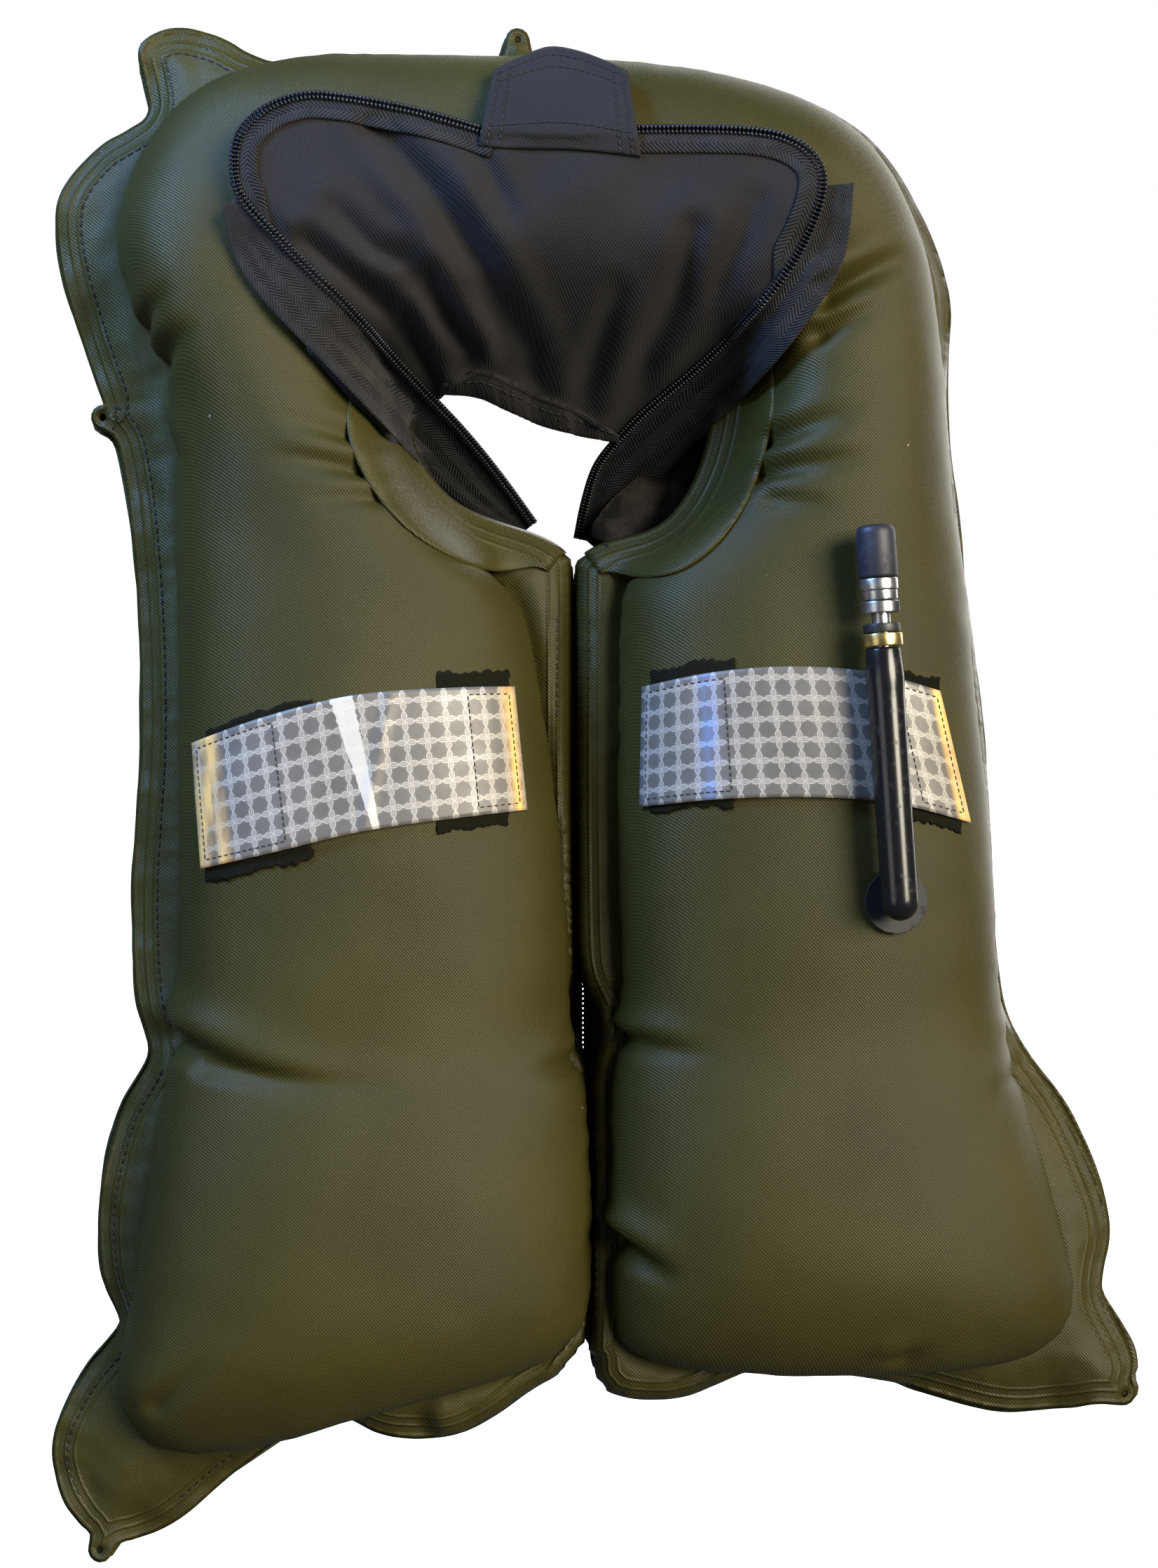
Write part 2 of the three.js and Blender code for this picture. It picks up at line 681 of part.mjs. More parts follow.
// The hollow neck runs down into the tube and up into the housing, with a seat at its top.
add('valve_neck', ring(2.6, 3.6, NECK_FOOT, BAND_Z + 2, 20), nickel, oral);
add('lock_ring', ring(4.9, 7.3, RING_Z, RING_Z + RING_HEIGHT, 20), nickel, oral);
add(
  'valve_housing',
  turned(
    [
      [4, RING_Z], [4.6, RING_Z], [4.6, BAND_Z], [6.9, BAND_Z], [6.9, BAND_Z + 3.6],
      [7.3, BAND_Z + 4], [7.3, HOUSING_TOP], [5, HOUSING_TOP], [5, SPIGOT_TOP],
      [2.4, SPIGOT_TOP], [2.4, BAND_Z + 12], [4, BAND_Z + 12],
    ],
    20,
  ),
  nickel,
  oral,
);
add(
  'mouthpiece',
  turned([
    [5.4, MOUTH_Z], [7.5, MOUTH_Z], [7.5, MOUTH_Z + MOUTH_HEIGHT - 2.5],
    [6.6, MOUTH_Z + MOUTH_HEIGHT - 0.6], [5, MOUTH_Z + MOUTH_HEIGHT],
    [2.8, MOUTH_Z + MOUTH_HEIGHT], [2.8, SPIGOT_TOP + GAP], [5.4, SPIGOT_TOP + GAP],
  ]),
  rubber,
  oral,
);
// The poppet hangs from the housing: pressing the mouthpiece pushes its disc off the neck's foot.
add(
  'valve_poppet',
  turned(
    [
      [0, NECK_FOOT - 4], [3.4, NECK_FOOT - 4], [3.4, NECK_FOOT - 2.4],
      [0.9, NECK_FOOT - 2.4], [0.9, HOUSING_TOP + 8], [0, HOUSING_TOP + 8],
    ],
    14,
  ),
  steel,
  oral,
);
add('valve_seal', ring(1.2, 3.3, NECK_FOOT - 2, NECK_FOOT - GAP, 16), red, oral);

// The return spring sits on the neck and pushes the housing up.
const SPRING_RADIUS = 3;
const SPRING_WIRE = 0.35;
const SPRING_TURNS = 5;
const SPRING_LOW = BAND_Z + 2.8;
const SPRING_HIGH = BAND_Z + 11.4;
const springSteps = SPRING_TURNS * 10;
const springRings = [];
for (let s = 0; s <= springSteps; s += 1) {
  const turn = (s / springSteps) * SPRING_TURNS * 2 * Math.PI;
  const height = THREE.MathUtils.lerp(SPRING_LOW, SPRING_HIGH, s / springSteps);
  const wire = [];
  for (let k = 0; k < 4; k += 1) {
    const angle = ((k + 0.5) / 4) * 2 * Math.PI;
    const radius = SPRING_RADIUS + SPRING_WIRE * Math.cos(angle);
    const z = height + SPRING_WIRE * Math.sin(angle);
    wire.push(new THREE.Vector3(radius * Math.cos(turn), radius * Math.sin(turn), z));
  }
  springRings.push(wire);
}
add('valve_spring', loft(springRings), steel, oral);

// ---- pile facing behind the right of the neck opening -------------------------------------

const facing = smoothShape([
  [13, -58], [52, -62], [68, -34], [62, -6], [50, -12], [38, -26], [25, -36], [14, -48],
]);
add('pile_facing', plate(facing, BACK_PANEL_Y + BACK_PANEL_THICKNESS + GAP, CLOTH), pile);

// ---- case zipper behind the slit ----------------------------------------------------------

const CASE_TOP = -78;
const CASE_LENGTH = 300;
const CASE_Z = CASE_TOP - CASE_LENGTH / 2;
const CASE_CHAIN_X = 0;
const CASE_CHAIN_Y = 47;
const CASE_TAPE_WIDTH = 16;
const SLIDER_Z = CASE_TOP - CASE_LENGTH + 14;
const CASE_CHAIN_WIDTH = 4;
const CASE_CHAIN_THICKNESS = 2.6;
const caseStrip = (x, width, thickness) =>
  box(x, CASE_CHAIN_Y, CASE_Z, width, thickness, CASE_LENGTH);
add('case_zip_chain', caseStrip(CASE_CHAIN_X, CASE_CHAIN_WIDTH, CASE_CHAIN_THICKNESS), black);
// The chain keeps its own tape on the right. The left tape lies open beside the slider.
const LEFT_TAPE_X = CASE_CHAIN_X - 6 - CASE_TAPE_WIDTH / 2;
const RIGHT_TAPE_X = CASE_CHAIN_X + CASE_CHAIN_WIDTH / 2 + GAP + CASE_TAPE_WIDTH / 2;
add('case_zip_tape_left', caseStrip(LEFT_TAPE_X, CASE_TAPE_WIDTH, ZIP_TAPE_THICKNESS), black);
add('case_zip_tape_right', caseStrip(RIGHT_TAPE_X, CASE_TAPE_WIDTH, ZIP_TAPE_THICKNESS), black);
add('case_zip_stop', box(CASE_CHAIN_X, CASE_CHAIN_Y, CASE_TOP - CASE_LENGTH - 2.4, 7, 3, 4), nickel);
// The slider is open towards its tape and carries two ears for the pull.
const PULL_Y = CASE_CHAIN_Y + 6;
const PULL_Z = SLIDER_Z + 4;
const EAR_X = 3;
const BAR_RADIUS = 0.8;
const BAR_RUNNING = 0.3;
const pullBar = (radius, length) => {
  const bar = sideways(rod(radius, -length / 2, length / 2, 10));
  bar.translate(CASE_CHAIN_X, PULL_Y, PULL_Z);
  return bar;
};
add(
  'zip_slider',
  cut(
    join(
      box(CASE_CHAIN_X, CASE_CHAIN_Y, SLIDER_Z, 9, 6, 13),
      box(CASE_CHAIN_X - EAR_X, PULL_Y - 1, PULL_Z, 1.2, 5, 3.6),
      box(CASE_CHAIN_X + EAR_X, PULL_Y - 1, PULL_Z, 1.2, 5, 3.6),
    ),
    box(CASE_CHAIN_X, CASE_CHAIN_Y, SLIDER_Z, 4.8, 3.4, 20),
    box(CASE_CHAIN_X + 6, CASE_CHAIN_Y, SLIDER_Z, 12, 2.2, 20),
    pullBar(BAR_RADIUS + BAR_RUNNING, 20),
  ),
  nickel,
);
const pullTag = box(CASE_CHAIN_X, PULL_Y, PULL_Z - 10, 4, 1.4, 22);
add('zip_pull', join(pullTag, pullBar(BAR_RADIUS, 7)), nickel);

// ---- manual inflators on the back ---------------------------------------------------------

const BACK_FACE = BACK_PANEL_Y + BACK_PANEL_THICKNESS + GAP;
const BASE_THICKNESS = 2.4;
const GASKET_Y = BACK_FACE + BASE_THICKNESS + GAP;
const GASKET_THICKNESS = 1.4;
const BODY_Y = GASKET_Y + GASKET_THICKNESS + GAP;
const BODY_SIZE = [30, 22, 36]; // width, depth and height
const STEM_RADIUS = 6.4;
const NECK_RADIUS = 5.8; // threaded neck of the gas cylinder
const NECK_END = -10; // where it ends inside the body
const NUT_RADIUS = 9;
const NUT_THICKNESS = 4.6;
const PIN_RADIUS = 1.6;
const PIN_SET = [3, 12]; // lever pin, back from the middle of the body and up
const RUNNING = 0.4; // clearance of a turning piece
const LEVER_THICKNESS = 3;
const THROUGH = 100; // half length of a cutter that goes right through

function inflator(suffix, x, side) {
  const [width, depth, height] = BODY_SIZE;
  const middleY = BODY_Y + depth / 2;
  const group = new THREE.Group();
  group.position.set(x, 0, INFLATOR_Z);
  vest.add(group);
  const piece = (name, geometry, material) => add(`${name}_${suffix}`, geometry, material, group);

  piece('inflator_base', facingBack(ring(STEM_RADIUS + GAP, 18, BACK_FACE, GASKET_Y - GAP, 28)), rubber);
  piece('inflator_gasket', facingBack(ring(STEM_RADIUS + GAP, 10, GASKET_Y, BODY_Y - GAP, 20)), red);
  piece('inflator_stem', facingBack(rod(STEM_RADIUS, BACK_FACE, BODY_Y + depth, 18)), nickel);

  const nutLow = BODY_Y + depth + GAP;
  const nutHigh = nutLow + NUT_THICKNESS;
  const chamfer = 1.5;
  const nut = turned(
    [
      [0, nutLow], [NUT_RADIUS, nutLow], [NUT_RADIUS, nutHigh - chamfer],
      [NUT_RADIUS - chamfer, nutHigh], [0, nutHigh],
    ],
    6,
  );
  piece('inflator_nut', facingBack(nut), nickel);

  const pinY = middleY + PIN_SET[0];
  const pinZ = PIN_SET[1];
  const pinHole = sideways(rod(PIN_RADIUS + RUNNING, -THROUGH, THROUGH, 16));
  pinHole.translate(0, pinY, pinZ);
  const stemHole = facingBack(rod(STEM_RADIUS + RUNNING, 0, THROUGH, 18));
  const neckHole = rod(NECK_RADIUS + RUNNING, -THROUGH, NECK_END + 1, 18);
  neckHole.translate(0, middleY, 0);
  const block = box(0, middleY, 0, width, depth, height);
  piece('inflator_body', cut(block, stemHole, neckHole, pinHole), plastic);

  const leverX = side * (width / 2 + RUNNING + LEVER_THICKNESS / 2);
  const lever = join(
    box(leverX, pinY, pinZ - 18, LEVER_THICKNESS, 9, 42),
    box(leverX + side * 1.5, pinY, pinZ - 35, LEVER_THICKNESS + 3, 12, 8),
  );
  piece('inflator_lever', cut(lever, pinHole), red);
  const pinHead = side * (width / 2 + RUNNING + LEVER_THICKNESS);
  const pinFoot = side * (1 - width / 2);
  const pin = sideways(rod(PIN_RADIUS, Math.min(pinHead, pinFoot), Math.max(pinHead, pinFoot), 14));
  pin.translate(0, pinY, pinZ);
  piece('lever_pin', pin, steel);

  const shoulder = -height / 2 - 6;
  const foot = shoulder - CYLINDER_LENGTH;
  const cylinder = turned([
    [0, foot], [CYLINDER_RADIUS * 0.6, foot], [CYLINDER_RADIUS * 0.92, foot + 3],
    [CYLINDER_RADIUS, foot + 8], [CYLINDER_RADIUS, shoulder - 6],
    [CYLINDER_RADIUS * 0.84, shoulder - 1.5], [NECK_RADIUS, shoulder],
    [NECK_RADIUS, NECK_END], [0, NECK_END],
  ]);
  cylinder.translate(0, middleY, 0);
  piece('gas_cylinder', cylinder, steel);
}

inflator('left', INFLATOR_X[0], -1);
inflator('right', INFLATOR_X[1], 1);

export default vest;
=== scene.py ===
"""Inflatable life jacket, inflated and held upright by its collar.

Metres, +Z up, the front of the jacket faces -Y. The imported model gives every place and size.
"""

import json
import math

import bmesh
import bpy
import numpy as np
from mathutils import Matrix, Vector, geometry, kdtree, noise
from mathutils.bvhtree import BVHTree


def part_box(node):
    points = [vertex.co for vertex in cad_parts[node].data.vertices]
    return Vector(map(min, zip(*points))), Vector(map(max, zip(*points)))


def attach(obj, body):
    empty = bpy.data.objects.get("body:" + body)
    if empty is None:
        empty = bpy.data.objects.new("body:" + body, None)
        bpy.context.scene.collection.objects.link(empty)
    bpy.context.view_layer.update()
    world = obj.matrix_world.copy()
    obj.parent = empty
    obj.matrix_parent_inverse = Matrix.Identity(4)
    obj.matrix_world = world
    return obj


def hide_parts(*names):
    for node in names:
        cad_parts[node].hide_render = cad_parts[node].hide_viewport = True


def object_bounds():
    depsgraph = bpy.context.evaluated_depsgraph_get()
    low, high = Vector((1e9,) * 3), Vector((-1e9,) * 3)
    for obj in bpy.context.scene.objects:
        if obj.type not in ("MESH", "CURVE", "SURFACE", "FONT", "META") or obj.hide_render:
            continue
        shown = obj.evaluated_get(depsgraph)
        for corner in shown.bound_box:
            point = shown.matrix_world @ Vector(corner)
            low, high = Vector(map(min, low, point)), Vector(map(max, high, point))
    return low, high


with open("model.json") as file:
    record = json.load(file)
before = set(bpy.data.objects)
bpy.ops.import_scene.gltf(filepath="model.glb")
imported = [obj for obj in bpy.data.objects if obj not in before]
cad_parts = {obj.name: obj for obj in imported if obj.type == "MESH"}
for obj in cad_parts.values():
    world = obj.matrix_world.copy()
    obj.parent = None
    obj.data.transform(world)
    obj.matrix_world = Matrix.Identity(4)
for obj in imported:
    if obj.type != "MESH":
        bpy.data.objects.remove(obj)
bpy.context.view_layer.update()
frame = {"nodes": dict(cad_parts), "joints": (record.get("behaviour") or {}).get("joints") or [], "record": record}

MM = 0.001
FRONT = Vector((0, -1, 0))
WELD_GAP = 0.02 * MM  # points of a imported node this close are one

# ---- camera, light and floor --------------------------------------------------------------

CAMERA_PLACE = (-0.0017, -1.2, -0.151)
CAMERA_LENS = 66.3  # mm, on a sensor whose long side is 36 mm
FLOOR_GAP = 3 * MM  # the jacket hangs just clear of the floor


def make_camera():
    data = bpy.data.cameras.new("camera")
    data.sensor_width = 36
    data.lens = CAMERA_LENS
    camera = bpy.data.objects.new("camera", data)
    camera.location = CAMERA_PLACE
    camera.rotation_euler = (math.pi / 2, 0, 0)
    bpy.context.scene.collection.objects.link(camera)
    bpy.context.scene.camera = camera


def make_light(name, place, aim, spread, power, colour, kind="AREA"):
    """A round area light as wide as its spread, or a sun whose spread is an angle."""
    data = bpy.data.lights.new(name, kind)
    if kind == "SUN":
        data.angle = spread
    else:
        data.shape = "DISK"
        data.size = spread
    data.energy = power
    data.color = colour
    light = bpy.data.objects.new(name, data)
    light.location = place
    light.rotation_euler = (Vector(aim) - Vector(place)).to_track_quat("-Z", "Y").to_euler()
    bpy.context.scene.collection.objects.link(light)


def make_studio():
    """A white surround, a broad warm sun on the right and a small cool window on the upper left."""
    scene = bpy.context.scene
    scene.view_settings.view_transform = "Standard"
    world = bpy.data.worlds.new("studio")
    world.use_nodes = True
    tree = world.node_tree
    surround = tree.nodes["Background"]
    surround.inputs["Color"].default_value = (1, 1, 1, 1)
    surround.inputs["Strength"].default_value = 1.0
    fill = add_node(tree, "ShaderNodeBackground", {0: (0.85, 0.9, 1.0, 1), 1: 0.11})
    seen = add_node(tree, "ShaderNodeLightPath").outputs["Is Camera Ray"]
    both = add_node(tree, "ShaderNodeMixShader", {0: seen, 1: fill.outputs[0]})
    tree.links.new(surround.outputs[0], both.inputs[2])
    tree.links.new(both.outputs[0], tree.nodes["World Output"].inputs["Surface"])
    scene.world = world
    middle = (0, -0.05, -0.15)
    make_light("key", (1.3, -1.55, 0.3), middle, 0.6, 6.1, (1.0, 0.92, 0.75), "SUN")
    make_light("window", (-0.85, -0.6, 0.75), (-0.02, -0.05, 0.02), 0.45, 30, (0.26, 0.5, 1.0))
    make_light("fill", (-1.1, -1.3, -0.25), middle, 0.9, 3, (1.0, 0.96, 0.86))
    make_light("back", (0.9, 1.8, 0.6), middle, 2.6, 58, (1.0, 0.98, 0.95))


# ---- node materials -----------------------------------------------------------------------


def add_node(tree, kind, inputs=None, **settings):
    made = tree.nodes.new(kind)
    for name, value in settings.items():
        setattr(made, name, value)
    for key, value in (inputs or {}).items():
        if isinstance(value, bpy.types.NodeSocket):
            tree.links.new(value, made.inputs[key])
        else:
            made.inputs[key].default_value = value
    return made


def math_node(tree, operation, a, b=0.0, c=0.0):
    made = add_node(tree, "ShaderNodeMath", {0: a, 1: b, 2: c}, operation=operation)
    return made.outputs[0]


def times(tree, a, b):
    return math_node(tree, "MULTIPLY", a, b)


def times_plus(tree, a, b, c):
    return math_node(tree, "MULTIPLY_ADD", a, b, c)


def ramp(tree, factor, stops):
    """A smooth ramp through (place, value) stops, as a grey level."""
    made = add_node(tree, "ShaderNodeValToRGB", {0: factor})
    elements = made.color_ramp.elements
    while len(elements) < len(stops):
        elements.new(0.5)
    for element, (place, value) in zip(elements, stops):
        element.position = place
        element.color = (value, value, value, 1)
    return made.outputs[0]


def mix_colour(tree, factor, a, b):
    made = add_node(tree, "ShaderNodeMix", {0: factor, 6: a, 7: b}, data_type="RGBA")
    return made.outputs[2]


def value_at(tree, attribute):
    made = add_node(tree, "ShaderNodeAttribute", attribute_name=attribute)
    return made.outputs["Fac"]


def noise_at(tree, where, scale, detail=3.0):
    made = add_node(
        tree, "ShaderNodeTexNoise", {"Vector": where, "Scale": scale, "Detail": detail}
    )
    return made.outputs[0]


def new_material(name, roughness, **surface):
    """A material and its tree, Principled node and object coordinates."""
    material = bpy.data.materials.new(name)
    material.use_nodes = True
    tree = material.node_tree
    shader = tree.nodes["Principled BSDF"]
    shader.inputs["Roughness"].default_value = roughness
    for key, value in surface.items():
        shader.inputs[key.replace("_", " ")].default_value = value
    where = add_node(tree, "ShaderNodeTexCoord").outputs["Object"]
    return material, tree, shader, where


def set_bump(tree, shader, height, distance, strength=1.0, under=None):
    inputs = {"Height": height, "Distance": distance, "Strength": strength}
    if under is not None:
        inputs["Normal"] = under
    made = add_node(tree, "ShaderNodeBump", inputs)
    tree.links.new(made.outputs[0], shader.inputs["Normal"])


def stripes(tree, where, direction, pitch):
    """A sine from -1 to 1 across stripes of the given pitch, square to a direction."""
    turn = Vector(direction).normalized() * (2 * math.pi / pitch)
    dot = add_node(
        tree, "ShaderNodeVectorMath", {0: where, 1: turn}, operation="DOT_PRODUCT"
    )
    return math_node(tree, "SINE", dot.outputs["Value"])


def woven(name, dark, light, roughness, pitch, depth, lint=0.0, gloss=0.28, **surface):
    """Twill cloth: slanting ribs crossed by finer threads, uneven in colour, with a little lint."""
    material, tree, shader, where = new_material(
        name, roughness, Specular_IOR_Level=gloss, **surface
    )
    rib = stripes(tree, where, (1, 0.55, 1), pitch)
    thread = stripes(tree, where, (1, 0.4, -1), pitch * 0.8)
    weave = times_plus(tree, thread, 0.5, rib)
    cloud = noise_at(tree, where, 14.0)
    fleck = noise_at(tree, where, 900.0, 1.0)
    tone = times_plus(tree, weave, 0.16, cloud)
    tone = times_plus(tree, fleck, 0.5, math_node(tree, "SUBTRACT", tone, 0.25))
    colour = mix_colour(tree, ramp(tree, tone, [(0.2, 0), (0.8, 1)]), dark, light)
    if lint:
        cells = add_node(tree, "ShaderNodeTexVoronoi", {"Vector": where, "Scale": 110.0})
        speck = math_node(tree, "LESS_THAN", cells.outputs["Distance"], 0.05)
        chosen = math_node(tree, "GREATER_THAN", noise_at(tree, where, 60.0, 1.0), 0.72)
        speck = times(tree, times(tree, speck, chosen), lint)
        colour = mix_colour(tree, speck, colour, (0.5, 0.5, 0.42, 1))
    tree.links.new(colour, shader.inputs["Base Color"])
    set_bump(tree, shader, weave, depth, 0.55)
    return material


def seam_cloth(name, dark, light, roughness):
    """Coated cloth whose welded edge carries ribs that run along it, with painted shade darkening the grooves
    between the ribs.
    """
    material = woven(name, dark, light, roughness, TWILL, 0.09 * MM)
    tree = material.node_tree
    shader = tree.nodes["Principled BSDF"]
    edge = value_at(tree, "from_edge")
    share = math_node(tree, "DIVIDE", edge, 16 * MM)
    welds = ramp(
        tree,
        share,
        [(0.0, 0.2), (0.08, 0.75), (0.16, 0.25), (0.3, 0.3), (0.36, 0.85), (0.42, 0.3)]
        + [(0.54, 0.35), (0.6, 0.8), (0.66, 0.35), (1.0, 0.4)],
    )
    weave = shader.inputs["Normal"].links[0].from_socket
    set_bump(tree, shader, welds, 1.1 * MM, 0.9, weave)
    cloth = shader.inputs["Base Color"].links[0].from_socket
    # Painted shade: the colour darkens towards the dark tone in the grooves between the weld ribs.
    groove = ramp(tree, welds, [(0.2, 0.45), (0.4, 0)])
    tree.links.new(mix_colour(tree, groove, cloth, dark), shader.inputs["Base Color"])
    return material


def herringbone(name, dark, light, column):
    """Zipper tape: chevrons across it, from its own length and width."""
    material, tree, shader, _ = new_material(
        name, 0.7, Sheen_Weight=0.04, Specular_IOR_Level=0.3
    )
    uv = add_node(tree, "ShaderNodeUVMap", uv_map="cloth").outputs[0]
    parts = add_node(tree, "ShaderNodeSeparateXYZ", {0: uv})
    along, across = parts.outputs[0], parts.outputs[1]
    slant = math_node(tree, "PINGPONG", across, column)
    phase = math_node(tree, "ADD", along, slant)
    turns = times(tree, phase, 2 * math.pi / (1.7 * MM))
    rib = math_node(tree, "SINE", turns)
    worn = noise_at(tree, uv, 160.0)
    tone = times_plus(tree, rib, 0.34, worn)
    colour = mix_colour(tree, ramp(tree, tone, [(0.2, 0), (0.9, 1)]), dark, light)
    tree.links.new(colour, shader.inputs["Base Color"])
    set_bump(tree, shader, rib, 0.3 * MM, 0.9)
    return material


def reflective_film(name):
    """Silver film under a clear layer: dull cells in a net of fine four-petal line figures, with painted gold and
    blue reflections tinted into its colour where the tape asks for them.
    """
    tile = 8 * MM
    material, tree, shader, _ = new_material(name, 0.45, Metallic=0.1)
    uv = add_node(tree, "ShaderNodeUVMap", uv_map="cloth").outputs[0]
    parts = add_node(tree, "ShaderNodeSeparateXYZ", {0: uv})
    offsets = []
    for part in parts.outputs[:2]:
        whole = math_node(tree, "DIVIDE", part, tile)
        share = math_node(tree, "FRACT", whole)
        offsets.append(math_node(tree, "SUBTRACT", share, 0.5))
    x, y = (math_node(tree, "ABSOLUTE", offset) for offset in offsets)
    reach = math_node(tree, "MAXIMUM", x, y)
    spread = math_node(tree, "MINIMUM", x, y)
    taper = times_plus(tree, reach, -2.0, 1.0)
    leaf = times(tree, reach, taper)
    inside = math_node(tree, "SUBTRACT", leaf, spread)
    outline = ramp(tree, math_node(tree, "ABSOLUTE", inside), [(0.012, 1), (0.034, 0)])
    filling = ramp(tree, inside, [(0.0, 0), (0.02, 0.35)])
    vein = ramp(tree, spread, [(0.006, 1), (0.02, 0)])
    vein = times(tree, vein, ramp(tree, inside, [(0.0, 0), (0.01, 1)]))
    figure = math_node(tree, "MAXIMUM", math_node(tree, "MAXIMUM", outline, vein), filling)
    corner_x, corner_y = (math_node(tree, "SUBTRACT", 0.5, part) for part in (x, y))
    diagonal = times(tree, math_node(tree, "ADD", corner_x, corner_y), 0.72)
    octagon = math_node(tree, "MAXIMUM", diagonal, math_node(tree, "MAXIMUM", corner_x, corner_y))
    cell = ramp(tree, octagon, [(0.34, 1), (0.37, 0)])
    haze = ramp(tree, noise_at(tree, uv, 45.0), [(0.35, 0), (0.7, 1)])
    ground = mix_colour(tree, haze, (0.14, 0.131, 0.12, 1), (0.195, 0.18, 0.165, 1))
    dull = times(tree, cell, 0.5)
    ground = mix_colour(tree, dull, ground, (0.1, 0.096, 0.09, 1))
    bright = times(tree, figure, 0.9)
    colour = mix_colour(tree, bright, ground, (0.5, 0.47, 0.43, 1))
    drawn_out = add_node(tree, "ShaderNodeMapping", {0: uv, "Scale": (1, 0.25, 1)}).outputs[0]
    # Painted reflections: gold glints in patches along the film and blue glints beaded on the line figures are
    # tinted into its colour, where the tape's values ask for them.
    glint_patches = ramp(tree, noise_at(tree, drawn_out, 130.0, 2.0), [(0.34, 0.1), (0.58, 1)])
    beaded_glints = times(tree, glint_patches, ramp(tree, figure, [(0.1, 0.3), (0.6, 1)]))
    for attribute, tint, glow in (
        ("painted_gold_glint", (0.95, 0.58, 0.2, 1), glint_patches),
        ("painted_blue_glint", (0.18, 0.38, 0.95, 1), beaded_glints),
    ):
        near = value_at(tree, attribute)
        colour = mix_colour(tree, times(tree, near, glow), colour, tint)
    worn = value_at(tree, "worn")
    edge = math_node(tree, "ADD", worn, -0.3)
    torn = times_plus(tree, noise_at(tree, uv, 420.0), 0.6, edge)
    torn = ramp(tree, torn, [(0.48, 0), (0.56, 0.85)])
    colour = mix_colour(tree, torn, colour, (0.62, 0.59, 0.55, 1))
    tree.links.new(colour, shader.inputs["Base Color"])
    smear = noise_at(tree, uv, 90.0)
    tree.links.new(ramp(tree, smear, [(0.3, 0.4), (0.75, 0.58)]), shader.inputs["Roughness"])
    set_bump(tree, shader, noise_at(tree, uv, 70.0, 2.0), 0.4 * MM, 0.5)
    return material


def moulded(name, dark, light, roughness, grain, **surface):
    """Rubber or plastic: a fine grain, faint scuffs and uneven gloss."""
    material, tree, shader, where = new_material(name, roughness, **surface)
    cloud = noise_at(tree, where, 60.0)
    fine = noise_at(tree, where, 1500.0, 2.0)
    scuff = ramp(tree, noise_at(tree, where, 240.0, 6.0), [(0.56, 0), (0.72, 1)])
    tone = times_plus(tree, scuff, 0.5, times(tree, cloud, 0.5))
    tree.links.new(mix_colour(tree, tone, dark, light), shader.inputs["Base Color"])
    gloss = times_plus(tree, scuff, 0.2, roughness)
    tree.links.new(gloss, shader.inputs["Roughness"])
    set_bump(tree, shader, fine, grain, 0.5)
    return material


def metal(name, dark, light, roughness):
    """Plated metal with fine turning marks and dull patches."""
    material, tree, shader, where = new_material(name, roughness, Metallic=1.0)
    marks = stripes(tree, where, (0.05, 0, 1), 0.33 * MM)
    cloud = noise_at(tree, where, 180.0)
    tree.links.new(mix_colour(tree, cloud, dark, light), shader.inputs["Base Color"])
    gloss = times_plus(tree, cloud, 0.22, roughness - 0.08)
    tree.links.new(gloss, shader.inputs["Roughness"])
    set_bump(tree, shader, marks, 0.012 * MM, 0.5)
    return material


def pile_cloth(name):
    """Short dark pile that catches the light in patches."""
    sheen = {"Sheen_Weight": 0.5, "Sheen_Roughness": 0.35, "Sheen_Tint": (0.8, 0.7, 0.62, 1)}
    material, tree, shader, where = new_material(name, 0.85, Specular_IOR_Level=0.2, **sheen)
    # Painted sheen: the pile's colour is much lighter in patches, standing in for where the lie of its nap catches
    # the light.
    lie = ramp(tree, noise_at(tree, where, 55.0), [(0.4, 0), (0.65, 1)])
    tuft = noise_at(tree, where, 1400.0, 3.0)
    colour = mix_colour(tree, lie, (0.007, 0.006, 0.005, 1), (0.075, 0.062, 0.055, 1))
    tree.links.new(colour, shader.inputs["Base Color"])
    set_bump(tree, shader, tuft, 0.8 * MM, 0.9)
    return material


TWILL = 0.9 * MM  # pitch of the ribs of the coated cloth
TWILL_DEPTH = 0.1 * MM

OLIVE = woven(
    "olive_coated_twill",
    (0.0262, 0.0235, 0.0034, 1),
    (0.048, 0.0425, 0.0080, 1),
    0.5,
    TWILL,
    TWILL_DEPTH,
    lint=0.7,
)
OLIVE_SEAM = seam_cloth(
    "olive_welded_seam", (0.027, 0.0243, 0.0038, 1), (0.055, 0.0495, 0.0100, 1), 0.46
)
OLIVE_REAR = woven(
    "olive_rear_twill", (0.022, 0.021, 0.006, 1), (0.038, 0.036, 0.012, 1), 0.5, TWILL, TWILL_DEPTH
)
NAVY = woven(
    "navy_backing", (0.011, 0.014, 0.028, 1), (0.022, 0.028, 0.056, 1), 0.6, 0.8 * MM, TWILL_DEPTH
)
BLACK = woven(
    "black_collar_twill",
    (0.0062, 0.0053, 0.0058, 1),
    (0.0145, 0.0124, 0.0135, 1),
    0.7,
    0.8 * MM,
    0.16 * MM,
    lint=0.35,
    Sheen_Weight=0.06,
)
PATCH = woven(
    "black_patch",
    (0.004, 0.004, 0.0016, 1),
    (0.0105, 0.01, 0.0045, 1),
    0.7,
    0.7 * MM,
    0.2 * MM,
    gloss=0.1,
)
ZIP_TAPE = herringbone(
    "black_herringbone", (0.003, 0.0028, 0.003, 1), (0.03, 0.027, 0.0275, 1), 5 * MM
)
FILM = reflective_film("silver_film")
PILE = pile_cloth("dark_pile")
